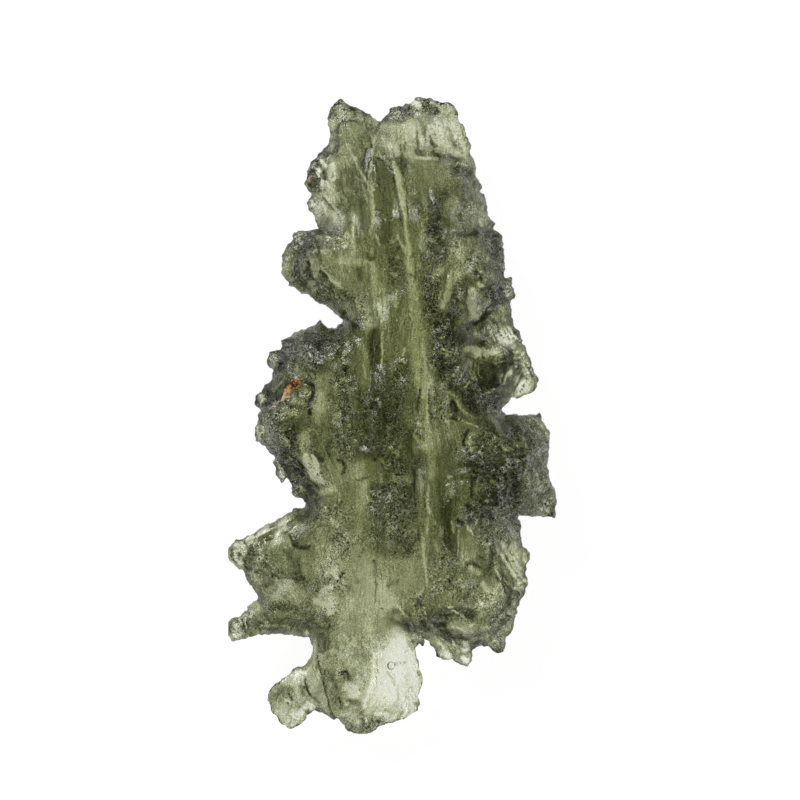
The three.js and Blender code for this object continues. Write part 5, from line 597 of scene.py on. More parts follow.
# Where the surface is rough with pits: strength in percent, half width, then points.
PITS = (
    (60, 0.5, 4.2, 4.8), (15, 0.6, -3.2, 16.8), (100, 0.5, 0.1, 16.7, 1.1, 16.8),
    (100, 0.5, 1.6, 17.2, 2.4, 16.8), (100, 0.6, -4.1, 14.2, -4.4, 12.7), (60, 0.5, -3.5, 14.5),
    (50, 0.5, -0.6, 14.3), (90, 0.6, 3.4, 13.6, 4.4, 13.4), (30, 0.9, 2.6, 12.6, 4.2, 12),
    (90, 0.6, 2.4, 11.6, 2.3, 8.6), (70, 0.8, 3.8, 11.2, 4.8, 10.8), (90, 0.7, 5.4, 9.8, 5.8, 8.4),
    (70, 1, 3.6, 9.2, 4.2, 8.6), (90, 0.6, 6.2, 8, 6.3, 6.8), (100, 0.6, -5.4, 9.9, -3.2, 9.8),
    (90, 0.6, -5.1, 9, -5.1, 7.4), (80, 0.6, -4.4, 7.1, -3, 6.4), (60, 0.5, 0, 9.4, 0.3, 7),
    (70, 0.4, -1.8, 6.4, -1.5, 5.2), (90, 0.5, 2.1, 8.2, 2.2, 5.6), (100, 0.7, 2.5, 5.2, 2.6, 3.2),
    (90, 0.5, 3.7, 7, 3.5, 5.6), (60, 0.5, 5.2, 8.6, 5.4, 7.8), (70, 0.5, 5.4, 6.8, 6, 6.6),
    (50, 0.4, 4.5, 6.6, 4.4, 5.4), (90, 0.6, 3.2, 3.6, 3, 2.4), (60, 1, 4.2, 1.8, 4.8, 0.8),
    (90, 0.7, 5, 0.8, 5.8, 0.6), (70, 0.5, 2.6, 1.6, 2.6, -0.2), (70, 0.6, 5.4, 4.5, 6.8, 4.3),
    (60, 0.4, 7.3, 3.2, 7.6, 2.2), (90, 1.2, -5.4, 4, -3.8, 3.8), (90, 0.7, -3.4, 4.4, -2.8, 3.2),
    (80, 0.5, -5.6, 2.8, -5.2, 2.4), (100, 0.7, -4.6, 2.4, -4.8, 1),
    (100, 0.7, -2.9, 2, -2.7, 0.2, -2.6, -1.6), (90, 0.7, -6.6, 0.2, -5.4, 0.4),
    (100, 0.9, -6.9, -0.6, -6.5, -1.6, -6, -2.4), (90, 0.7, -5.6, -0.8, -5.4, -1.8),
    (80, 0.6, -4.5, -0.7, -4.6, -1.6), (90, 0.8, -6.2, -2.4, -5.4, -3.6), (80, 0.5, -4.7, -2.4, -4.1, -3.4),
    (90, 0.5, -5, -3.9, -4.5, -4.6), (50, 0.5, -2.2, -2, -1.6, -1.4), (90, 0.7, 0, -1.6, 0.2, -3.6),
    (90, 0.8, 0.3, -4.4, 0.5, -7), (80, 0.5, -0.9, -4.4, -1.1, -6.8), (60, 0.7, 0.2, 2.8, 0.3, -0.6),
    (60, 0.7, -1.4, 0.8, -1.3, -1.4), (50, 0.4, 1.4, -0.4, 1.5, -1), (100, 1.2, 5.2, -1.8, 5.6, -4.2),
    (100, 1, 6.4, -1.6, 6.6, -4.6), (90, 0.8, 7.6, -0.7, 8.2, -2.6), (100, 0.9, 7.8, -3.2, 8.2, -4.8),
    (90, 0.7, 4.4, -5.3, 6.4, -5.4), (80, 0.6, 4.8, -6.3, 5.8, -6.4), (70, 0.5, 6.7, -6.3),
    (60, 0.6, 3, -7.6, 3.1, -9.2), (70, 0.5, 2.1, -8.6, 2.4, -9.4), (70, 0.7, 4.4, -9.8, 5.4, -10.6),
    (60, 0.5, 6.2, -10.4, 5.4, -11.2), (80, 0.5, 2.1, -11.2, 4.2, -11), (70, 0.5, 5.4, -12.2, 6, -12.6),
    (80, 0.5, 1.4, -10, 1.8, -11.8), (80, 0.7, -8.6, -7.5, -7.4, -7.8), (40, 0.3, -5.1, -8.6, -4.9, -9.2),
    (80, 0.7, -3.4, -5.3, -2.6, -5.8), (80, 0.6, -2.7, -6.4, -2.6, -7.4), (80, 0.6, -3.4, -8.2, -2.9, -9.2),
    (70, 0.6, -4, -9.8, -3.4, -10.6), (60, 0.5, -6.6, -10.4, -5.4, -10.6),
    (80, 0.6, -4.6, -11.2, -3.6, -11.5), (90, 0.5, -8.2, -11.4, -8.5, -12),
    (50, 0.3, -3.6, -14.4, -3.2, -15.4), (70, 0.4, -2.7, -14.2), (90, 0.4, -2.4, -17, -0.5, -16.9),
    (50, 0.4, -6.2, -15.4, -5.6, -15.8), (30, 0.5, -0.6, -12.4, -1, -13.2),
)

# Where the surface is smooth and clear: strength in percent, half width, then points.
CLEAR = (
    (90, 0.35, -4.8, -2.2, -4.2, -3.4), (55, 0.5, -7.6, -6.9, -5.6, -5.9), (80, 0.35, 5.7, 4.5, 6.4, 4.2),
    (90, 0.9, 0.3, -12.6, 0, -15.6), (80, 0.6, 0.9, -13.2, 1, -15.8), (70, 0.5, -0.7, -13.2, -0.8, -15.4),
    (50, 0.4, -6.6, 3.1), (50, 0.25, -6.1, -3.3), (60, 0.3, 4, -12.8), (60, 0.3, 3, -13.1),
    (40, 1.3, 1.4, 15.2, 3.2, 15), (45, 0.8, -2.5, 16.4, -2.6, 14.2), (40, 1, 1.6, 13.4, 2.2, 12.6),
    (45, 0.6, -0.5, 13.6, -0.3, 10.2), (45, 1.1, -1.4, -8.4, -1.2, -12), (40, 0.7, 0.6, -8.6, 0.6, -10.2),
    (40, 0.7, 4, -6.8, 4.2, -7.4), (35, 0.6, -1.7, 4, -1.7, 2.4), (50, 0.3, -4.4, 11.5),
    (45, 1.2, -5.6, -14.9, -5.8, -16.2), (30, 0.6, -3.8, 11.2), (40, 0.3, 1.3, 17.1),
)

# Lines that the glass flowed along, as x and y in mm of the points that they run through.
FLOW_LINES = (
    (-2.8, 16.8, -2.4, 15, -1.5, 12.9, -1.1, 11, -1, 8, -0.8, 5), (-1.1, 15.2, -1.3, 13.2, -1.1, 11),
    (0.1, 13.8, 0.6, 12, 0.7, 10, 1, 8, 1.2, 6, 1.5, 4), (1.5, 4, 1.8, 1.5, 1.9, -1, 2.1, -3),
    (2.1, -3, 1.9, -5, 1.7, -7, 1.8, -9), (-2.3, 12, -2.2, 8, -1.9, 5.6), (1.2, 16.2, 1.2, 14.3),
    (3, 16.8, 4.1, 14.4), (2.5, 13, 2.4, 9, 2.1, 5.6), (4.3, 13.4, 5, 11, 5.8, 8.8),
    (-4.2, 14, -4, 12.4, -2.7, 10.4), (-4.6, 9, -3.6, 7.9, -2.7, 6.9), (-5.4, 9.6, -5.3, 7.6),
    (-4, 7.2, -3, 6.3), (4.5, 8.6, 3.2, 7.2, 2.7, 5.9), (6.2, 6.6, 4.8, 5.4, 3.3, 4.5),
    (4.4, 6.9, 4.4, 5.3), (5.4, 4.9, 6.4, 4), (3.8, 3.6, 5.2, 3.5, 7, 3.5), (6.6, 2.9, 5.9, 1.4),
    (7.3, 2.2, 6.8, 1.2), (3.6, 2.8, 3.2, 1.4), (-1, 4.4, -1, 0, -1.1, -5, -1, -10),
    (0.2, 4, 0.3, 0, 0.3, -6.8), (-2.2, 4.2, -2.2, 0.5, -2, -3, -2, -6.4), (-3.6, 2.2, -4.2, 0, -3.9, -2),
    (-6.4, 2, -6.8, 1.2), (-6.4, -0.4, -5.2, 0), (-4.9, -2.2, -4, -3.5), (-6.4, -2.2, -6, -3.6),
    (2.6, -0.6, 3.4, -2.4, 3.8, -4.4), (4.6, -1.4, 5.6, -3, 6.2, -4.8), (7.2, -0.5, 8.2, -2.2, 8.6, -4.8),
    (3.7, -6.2, 3.9, -9.6), (2.3, -6.6, 2.4, -10.4), (5.8, -6.8, 7.2, -8.6), (5.3, -7.6, 6, -9, 6.6, -9.6),
    (4.4, -9.4, 5.6, -10.8), (6.9, -9.8, 5.6, -11.3), (2.3, -11.8, 3.6, -12.6), (4.4, -11.8, 5.8, -12.6),
    (-5, -5.4, -6.8, -6.3, -8.7, -7.1), (-7.7, -8.8, -7.2, -10), (-5.4, -7.6, -4.9, -9),
    (-4.6, -11.3, -6.8, -11.3, -8.7, -11.6), (-3.6, -8, -4.4, -10), (-2.2, -9, -2.2, -13),
    (-4.2, -12.2, -4, -14, -3.3, -16.2), (-5.2, -14.2, -6, -16.6), (0.4, -11.8, 0.1, -15.8),
    (-2.4, -17, 0.4, -16.6),
)

# Colour that the skin lets through: its lightness, then red, green and blue.
GLASS_RAMP = (
    (0.14, (0.0006, 0.0007, 0.0002)), (0.22, (0.0040, 0.0046, 0.0012)), (0.30, (0.0160, 0.0180, 0.0065)),
    (0.42, (0.086, 0.098, 0.045)), (0.52, (0.21, 0.23, 0.12)), (0.64, (0.47, 0.50, 0.32)),
    (0.80, (0.86, 0.88, 0.76)), (0.92, (0.97, 0.98, 0.95)),
)


# ---- settings ----


class StoneSettings(PropertyGroup):
    """Sizes and colours of the stone."""

    pit_depth: FloatProperty(
        name="Pit depth", description="Depth of the widest etch pits, in mm",
        default=0.18, min=0, max=1,
    )
    streak_depth: FloatProperty(
        name="Streak depth", description="Depth of the fine streaks along the flow, in mm",
        default=0.05, min=0, max=0.5,
    )
    jag_depth: FloatProperty(
        name="Jag depth", description="Depth of the jags along the thin edges, in mm",
        default=0.07, min=0, max=1,
    )
    mark_depth: FloatProperty(
        name="Mark depth", description="Depth or rise of the single fine marks, in mm",
        default=0.15, min=0, max=1,
    )
    ior: FloatProperty(
        name="IOR", description="Index of refraction of the glass", default=1.49, min=1, max=2,
    )
    absorption: FloatVectorProperty(
        name="Absorption colour", description="Colour that a thick piece keeps",
        subtype="COLOR", size=3, default=(0.56, 0.585, 0.22), min=0, max=1,
    )
    density: FloatProperty(
        name="Absorption density", description="How fast the glass darkens, per metre",
        default=244.0, min=0, max=5000,
    )


class StageSettings(PropertyGroup):
    """The pale stage, its light and its camera."""

    floor_colour: FloatVectorProperty(
        name="Floor colour", description="Colour of the floor",
        subtype="COLOR", size=3, default=(0.2, 0.2, 0.2), min=0, max=1,
    )
    floor_glow: FloatProperty(
        name="Floor glow", description="Light that the pale floor gives off, like a light table",
        default=0.945, min=0, max=4,
    )
    sky: FloatProperty(
        name="Sky", description="Strength of the even light from all round", default=0.08, min=0,
    )
    lens: FloatProperty(
        name="Lens", description="Focal length, in mm", default=180.0, min=20,
    )
    frame_width: FloatProperty(
        name="Frame width", description="Width that the picture spans at the stone",
        default=44 * MM, unit="LENGTH",
    )
    aim: FloatVectorProperty(
        name="Aim", description="Point on the plan that the camera looks down on",
        size=2, default=(0.41 * MM, 0.88 * MM), unit="LENGTH",
    )


# Rounding off the CAD mesh: corners this near become one, each softening pass moves heights by
# this share towards their neighbours, and each fitting pass takes up this share of the gap that
# is left between the rounded mesh and its old corners.
MERGE_DISTANCE = 0.002 * MM
SOFTENING = 0.5
SOFTENING_PASSES = 6
DIVISIONS = 2
FIT_SHARE = 0.9
FIT_PASSES = 2

# Lightness of bare glass, of the underside and of its clear part; how far the broad tones are
# spread away from bare glass; and the strength of the fine marks.
BARE_TONE = 0.46
UNDER_TONE = 0.74
CLEAR_UNDER_TONE = 0.93
TONE_CONTRAST = 1.15
FINE_GAIN = 1.25

# Etch pits from the widest to the finest: their spacing in mm, and the share of the pit depth.
PIT_SIZES = ((0.75, 1.0), (0.42, 0.75), (0.26, 0.5))

# How much lower than the CAD solid the carved stone is, in mm.
TOP_GAP = 0.02

# How strong the bump of the fine grain is on the broad faces and on the steep edges.
GRAIN_BUMP = 0.15
STEEP_BUMP = 1.1

# The grid on the plan where the flow of the glass is worked out, in mm; how wide a flow line
# pulls the glass along; and the weaker pull along the stone that rules elsewhere.
FLOW_STEP = 0.25
FLOW_CORNER = np.array([-10.0, -19.0])
FLOW_CELLS = (80, 152)
FLOW_REACH = 0.9
FLOW_REST = -0.02

# Large numbers that scramble a lattice cell and a seed into evenly spread values.
CELL_MIX = np.array([73856093, 19349663, 83492791])
SEED_MIX = 2654435761
VALUE_MIX = 1274126177
VALUE_COUNT = 0x1000000

# Lamps that face the stone: name, place in m, width in m, and power in W.
LAMPS = (
    ("key_light", (-0.24, 0.30, 0.26), 0.16, 1.05),
    ("fill_light", (0.32, -0.16, 0.24), 0.14, 0.45),
)
FLOOR_GAP = 0.02 * MM


# ---- fields over the surface ----


def smoothstep(low, high, value):
    """0 below low, 1 above high, and a soft step between."""
    share = np.clip((value - low) / (high - low), 0, 1)
    return share * share * (3 - 2 * share)


def lattice_value(cells, seed):
    """Repeatable number from 0 to 1 for each whole-numbered lattice cell."""
    mixed = (cells * CELL_MIX).sum(-1) + seed * SEED_MIX
    mixed = (mixed ^ (mixed >> 13)) * VALUE_MIX
    mixed = mixed ^ (mixed >> 16)
    return (mixed & (VALUE_COUNT - 1)) / float(VALUE_COUNT)


def value_noise(points, scale, seed):
    """Smooth noise from -1 to 1 with features about scale wide; scale may differ by axis."""
    places = points / np.asarray(scale, float)
    cell = np.floor(places).astype(np.int64)
    share = places - cell
    share = share * share * share * (share * (share * 6 - 15) + 10)
    total = np.zeros(len(points))
    for corner in np.ndindex(2, 2, 2):
        corner = np.array(corner)
        weight = np.where(corner == 1, share, 1 - share).prod(-1)
        total += weight * lattice_value(cell + corner, seed)
    return total * 2 - 1


def mixed_noise(points, coarse, fine, share, seed):
    """Coarse noise with this share of fine noise on top of it."""
    return value_noise(points, coarse, seed) + share * value_noise(points, fine, seed + 1)


def seed_distance(points, spacing, seed):
    """Distance to the nearest of scattered points, one per lattice cell, in cells."""
    places = points / np.asarray(spacing, float)
    cell = np.floor(places).astype(np.int64)
    nearest = np.full(len(points), 9.0)
    for step in np.ndindex(3, 3, 3):
        other = cell + np.array(step) - 1
        centre = other + np.stack([lattice_value(other, seed + k) for k in range(3)], -1)
        nearest = np.minimum(nearest, np.linalg.norm(places - centre, axis=-1))
    return nearest


def line_distance(plan, start, end):
    """Distance of places on the plan from a straight line between two of its points."""
    run = end - start
    share = np.clip((plan - start) @ run / max(run @ run, 1e-12), 0, 1)
    return np.hypot(*(plan - start - share[:, None] * run).T)


def stroke_reach(plan, half_width, line):
    """Places near a stroke, and how fully it covers each: 1 along it, 0 beyond its soft border."""
    stops = np.array(line, float).reshape(-1, 2)
    outer = min(1.7, 1.2 + half_width)
    inner = 1.75 - outer
    margin = half_width * outer
    near = np.all((plan > stops.min(0) - margin) & (plan < stops.max(0) + margin), axis=1)
    near = np.flatnonzero(near)
    place = plan[near]
    gap = np.full(len(near), 1e9)
    for start, end in zip(stops, stops[1:] if len(stops) > 1 else stops):
        gap = np.minimum(gap, line_distance(place, start, end))
    return near, 1 - smoothstep(inner, outer, gap / half_width)


def wavering(points, reach, scale, seed):
    """Plan places of the points, pushed about a little so that borders come out natural."""
    push = np.stack([value_noise(points, scale, seed + k) for k in (0, 1)], -1)
    return points[:, :2] + push * reach


def strongest(plan, strokes):
    """Strongest stroke over each place, from 0 to 1."""
    mask = np.zeros(len(plan))
    for strength, half_width, *line in strokes:
        near, cover = stroke_reach(plan, half_width, line)
        mask[near] = np.maximum(mask[near], strength / 100 * cover)
    return mask


def painted(plan, strokes, field, rise=None, gain=1.0):
    """Lays the strokes over the field in order, and adds what thin ones change to rise."""
    for lightness, half_width, *line in strokes:
        near, cover = stroke_reach(plan, half_width, line)
        change = (lightness / 100 - field[near]) * cover * gain
        field[near] += change
        if rise is not None:
            rise[near] += change * min(1.0, half_width / 0.1) * smoothstep(0.5, 0.15, half_width)


def flow_directions():
    """Unit vectors across and along the flow, at each point of the grid."""
    sides = [FLOW_CORNER[k] + FLOW_STEP * np.arange(FLOW_CELLS[k]) for k in (0, 1)]
    grid = np.stack(np.meshgrid(*sides, indexing="ij"), -1).reshape(-1, 2)
    pull = np.full(len(grid), FLOW_REST, complex)
    for line in FLOW_LINES:
        stops = np.array(line, float).reshape(-1, 2)
        for start, end in zip(stops, stops[1:]):
            run = end - start
            gap = line_distance(grid, start, end)
            pull += np.exp(-(gap / FLOW_REACH) ** 2) * np.exp(2j * math.atan2(run[1], run[0]))
    angle = np.angle(pull) / 2
    angle = np.where(np.sin(angle) < 0, angle + math.pi, angle)
    along = np.stack([np.cos(angle), np.sin(angle)], -1).reshape(*FLOW_CELLS, 2)
    across = np.stack([along[..., 1], -along[..., 0]], -1)
    return across, along


def climbing(field):
    """The mean of a field of directions, and heights on the grid that climb with the rest."""
    mean = field.reshape(-1, 2).mean(0)
    waves = [2j * math.pi * np.fft.fftfreq(FLOW_CELLS[k], FLOW_STEP) for k in (0, 1)]
    wave_x, wave_y = np.meshgrid(*waves, indexing="ij")
    power = wave_x**2 + wave_y**2
    power[0, 0] = 1
    bend_x, bend_y = (np.fft.fft2(field[..., k] - mean[k]) for k in (0, 1))
    return mean, np.real(np.fft.ifft2((wave_x * bend_x + wave_y * bend_y) / power))


def flow_places(plan):
    """How far across and along the flow each place is, in mm."""
    spot = (plan - FLOW_CORNER) / FLOW_STEP
    cell = np.clip(np.floor(spot).astype(int), 0, np.array(FLOW_CELLS) - 2)
    share = spot - cell
    places = []
    for field in flow_directions():
        mean, height = climbing(field)
        total = plan @ mean
        for dx, dy in np.ndindex(2, 2):
            weight = np.abs(1 - dx - share[:, 0]) * np.abs(1 - dy - share[:, 1])
            total = total + weight * height[cell[:, 0] + dx, cell[:, 1] + dy]
        places.append(total)
    return np.stack(places, -1)


# ---- the stone ----


def rows_of(vertices, name="co"):
    """Places or other vectors of the vertices, as rows of three numbers."""
    values = np.zeros(len(vertices) * 3, np.float32)
    vertices.foreach_get(name, values)
    return values.reshape(-1, 3).astype(float)


def add_mask(mesh, name, values):
    """Stores one number or one vector per vertex under a name that materials can read."""
    kind, slot = ("FLOAT", "value") if values.ndim == 1 else ("FLOAT_VECTOR", "vector")
    layer = mesh.attributes.new(name, kind, "POINT")
    layer.data.foreach_set(slot, np.ascontiguousarray(values, np.float32).ravel())


def rounded(coarse):
    """A finely divided, rounded copy of a mesh."""
    holder = bpy.data.objects.new("coarse", coarse)
    bpy.context.scene.collection.objects.link(holder)
    rounding = holder.modifiers.new("rounding", "SUBSURF")
    rounding.levels = DIVISIONS
    rounding.render_levels = DIVISIONS
    graph = bpy.context.evaluated_depsgraph_get()
    fine = bpy.data.meshes.new_from_object(holder.evaluated_get(graph))
    bpy.data.objects.remove(holder)
    return fine


def soften(shell):
    """Evens out the heights of the two broad faces, and leaves the outline where it is."""
    shell.normal_update()
    shell.verts.ensure_lookup_table()
    count = len(shell.verts)
    heights = np.array([vertex.co.z for vertex in shell.verts])
    flat = smoothstep(0.35, 0.8, np.abs(np.array([vertex.normal.z for vertex in shell.verts])))
    ends = np.array([[vertex.index for vertex in edge.verts] for edge in shell.edges])
    degree = np.bincount(ends.ravel(), minlength=count)
    for _ in range(SOFTENING_PASSES):
        total = np.bincount(ends[:, 0], heights[ends[:, 1]], count)
        total += np.bincount(ends[:, 1], heights[ends[:, 0]], count)
        heights += SOFTENING * flat * (total / degree - heights)
    for vertex, height in zip(shell.verts, heights):
        vertex.co.z = height


def rounded_node(node):
    """The CAD solid's mesh, merged and rounded off so that it still runs through its corners."""
    shell = bmesh.new()
    shell.from_mesh(node.data)
    bmesh.ops.remove_doubles(shell, verts=shell.verts, dist=MERGE_DISTANCE)
    soften(shell)
    coarse = bpy.data.meshes.new("coarse")
    shell.to_mesh(coarse)
    shell.free()
    target = rows_of(coarse.vertices)
    count = len(target)
    moved = target.copy()
    for _ in range(FIT_PASSES):
        fine = rounded(coarse)
        moved += FIT_SHARE * (target - rows_of(fine.vertices)[:count])
        coarse.vertices.foreach_set("co", moved.astype(np.float32).ravel())
        coarse.update()
        bpy.data.meshes.remove(fine)
    fine = rounded(coarse)
    bpy.data.meshes.remove(coarse)
    return fine


def skin_tone(points, plan, facing, is_top):
    """Lightness of the skin, and how far its fine marks rise out of it or cut into it."""
    broad_plan = wavering(points, reach=0.28, scale=0.84, seed=5)
    broad_plan = broad_plan + wavering(points, reach=0.05, scale=0.15, seed=15) - points[:, :2]
    tone = np.full(len(points), BARE_TONE)
    painted(broad_plan, BROAD_TONES, tone)
    clouds = 0.08 * value_noise(points, (2.2, 4.0, 2.2), seed=40)
    # The underside is darkened under the dark broad strokes too: the glass's own tint and painted shade, as
    # on the upper face.
    under_tone = UNDER_TONE + 0.9 * np.minimum(0, tone - BARE_TONE) + clouds
    tone = BARE_TONE + TONE_CONTRAST * (tone - BARE_TONE)
    marks = np.zeros(len(points))
    painted(plan, FINE_TONES, tone, marks, FINE_GAIN)
    tone = tone * is_top + under_tone * (1 - is_top)
    # Painted light: the steep walls are painted up to 6 % lighter than the broad faces.
    tone *= 1.06 - 0.06 * smoothstep(0.1, 0.7, facing)
    return tone, marks


def etch_depth(points, flowing, pitted, clear, on_face, settings):
    """How deep the pits, the streaks along the flow and the jags of the edges go, in mm."""
    cut = np.zeros(len(points))
    for k, (spacing, share) in enumerate(PIT_SIZES):
        bowls = 0.55 - np.clip(seed_distance(points, spacing, seed=11 + 7 * k), 0, 1) ** 2
        cut += settings.pit_depth * share * bowls * (0.1 + 0.9 * pitted)
    streaks = mixed_noise(flowing, (0.45, 6.0, 3.0), (0.22, 3.0, 2.0), share=0.7, seed=50)
    cut += settings.streak_depth * streaks * (1 - 0.5 * pitted)
    jags = mixed_noise(points, (0.34, 0.34, 0.5), (0.18, 0.18, 0.3), share=0.7, seed=60)
    cut += settings.jag_depth * jags * (1 - on_face)
    cut *= (1 - 0.6 * clear) * (1.1 - 0.1 * on_face)
    return cut


def fit_height(carved):
    """Stretches the carved stone to its height, its topmost part most, and keeps it in the box."""
    height = cad_box[1][2] / MM - TOP_GAP
    carved[:, 2] *= math.sqrt(height / carved[:, 2].max())
    peak = carved[:, 2].max()
    carved[:, 2] += (height - peak) * smoothstep(0.78 * peak, peak, carved[:, 2])
    low, high = [np.array(corner) / MM for corner in cad_box]
    return np.clip(carved, low, high)


def etch(mesh, settings):
    """Carves pits, streaks and single marks, and stores what kind of surface is where."""
    points = rows_of(mesh.vertices) / MM
    normals = rows_of(mesh.vertex_normals, "vector")
    facing = np.abs(normals[:, 2])
    is_top = smoothstep(-0.25, 0.25, normals[:, 2])
    on_face = smoothstep(0.2, 0.8, facing)
    plan = wavering(points, reach=0.03, scale=0.3, seed=15)
    tone, marks = skin_tone(points, plan, facing, is_top)

    pitted = strongest(plan, PITS) * is_top
    pitted += smoothstep(-0.3, 0.5, value_noise(points, (2.4, 3.4, 2.4), seed=41)) * (1 - is_top)
    clear = strongest(plan, CLEAR)
    tone += (CLEAR_UNDER_TONE - tone) * smoothstep(0.45, 0.9, clear) * (1 - is_top)
    flowing = np.column_stack([flow_places(points[:, :2]), points[:, 2]])

    cut = etch_depth(points, flowing, pitted, clear, on_face, settings)
    cut -= settings.mark_depth * marks * is_top * on_face
    carved = fit_height(points - normals * cut[:, None])
    mesh.vertices.foreach_set("co", (carved * MM).astype(np.float32).ravel())
    steep = 1 - smoothstep(0.35, 0.8, facing)
    for name, values in (
        ("tone", tone), ("pitted", pitted), ("clear", clear), ("steep", steep), ("flow", flowing),
    ):
        add_mask(mesh, name, values)
    mesh.update()


# ---- materials ----


class Wiring:
    """Adds nodes to a tree and joins them up."""

    def __init__(self, tree):
        self.nodes = tree.nodes
        self.links = tree.links

    def put(self, socket, value):
        """Sets a socket to a plain value, or joins it to another socket."""
        if isinstance(value, bpy.types.NodeSocket):
            self.links.new(value, socket)
        else:
            socket.default_value = value

    def add(self, kind, values=(), **settings):
        """A node of this kind with its settings and its inputs by name or number."""
        node = self.nodes.new(kind)
        for name, value in settings.items():
            setattr(node, name, value)
        for name, value in dict(values).items():
            self.put(node.inputs[name], value)
        return node

    def maths(self, operation, *values, clamp=False):
        values = dict(enumerate(values))
        return self.add("ShaderNodeMath", values, operation=operation, use_clamp=clamp).outputs[0]

    def vector_maths(self, operation, *values, output="Vector"):
        node = self.add("ShaderNodeVectorMath", dict(enumerate(values)), operation=operation)
        return node.outputs[output]

    def scaled(self, vector, factors):
        """The vector with each of its parts times its own factor."""
        return self.vector_maths("MULTIPLY", vector, factors)

    def place_in_mm(self):
        """Where on the stone the shaded point is, in mm."""
        return self.scaled(self.add("ShaderNodeTexCoord").outputs["Object"], (1 / MM,) * 3)

    def stretch(self, value, low, high, to_low, to_high):
        """The value moved from the first range to the second, and kept within it."""
        values = {"Value": value, "From Min": low, "From Max": high,
                  "To Min": to_low, "To Max": to_high}
        return self.add("ShaderNodeMapRange", values).outputs["Result"]

    def signed(self, value, reach):
        """Noise from 0 to 1 as a number from -1 to 1, reached this far from its middle."""
        return self.stretch(value, 0.5 - reach, 0.5 + reach, -1.0, 1.0)

    def noise(self, vector, scale, detail=2.0, rough=0.5, seed=0.0):
        """Smooth noise from 0 to 1."""
        values = {"Vector": vector, "W": seed, "Scale": scale, "Detail": detail, "Roughness": rough}
        node = self.add("ShaderNodeTexNoise", values, noise_dimensions="4D")
        return node.outputs["Fac"]

    def veins(self, vector, scale, width, seed):
        """Thin winding lines: 1 along them and 0 away from them."""
        level = self.noise(vector, scale, detail=1.0, seed=seed)
        away = self.maths("ABSOLUTE", self.maths("SUBTRACT", level, 0.5))
        return self.stretch(away, 0.0, width, 1.0, 0.0)

    def jitter(self, vector, scale, reach):
        """A small push in a direction that changes from place to place."""
        node = self.add("ShaderNodeTexNoise", {"Vector": vector, "Scale": scale, "Detail": 1.0})
        middle = self.vector_maths("SUBTRACT", node.outputs["Color"], (0.5,) * 3)
        return self.scaled(middle, (reach * 4,) * 3)

    def product(self, *values):
        """The product of some values."""
        result, *others = values
        for other in others:
            result = self.maths("MULTIPLY", result, other)
        return result

    def total(self, *parts):
        """The sum of some values, each times its own share."""
        result = None
        for value, share in parts:
            part = self.maths("MULTIPLY", value, share)
            result = part if result is None else self.maths("ADD", result, part)
        return result

    def ramp(self, value, stops):
        """The colour for a value, from stops that each hold a place and a colour."""
        node = self.add("ShaderNodeValToRGB", {"Fac": value})
        band = node.color_ramp
        while len(band.elements) < len(stops):
            band.elements.new(1.0)
        for element, (place, colour) in zip(band.elements, stops):
            element.position = place
            element.color = (*colour, 1)
        return node.outputs["Color"]


def new_group(name, numbers, vectors, results):
    """An empty shader node group with these sockets, its wiring, and its two end nodes."""
    group = bpy.data.node_groups.new(name, "ShaderNodeTree")
    for labels, way, kind in (
        (numbers, "INPUT", "NodeSocketFloat"), (vectors, "INPUT", "NodeSocketVector"),
        (results, "OUTPUT", "NodeSocketFloat"),
    ):
        for label in labels:
            group.interface.new_socket(label, in_out=way, socket_type=kind)
    wiring = Wiring(group)
    return group, wiring, wiring.add("NodeGroupInput").outputs, wiring.add("NodeGroupOutput").inputs


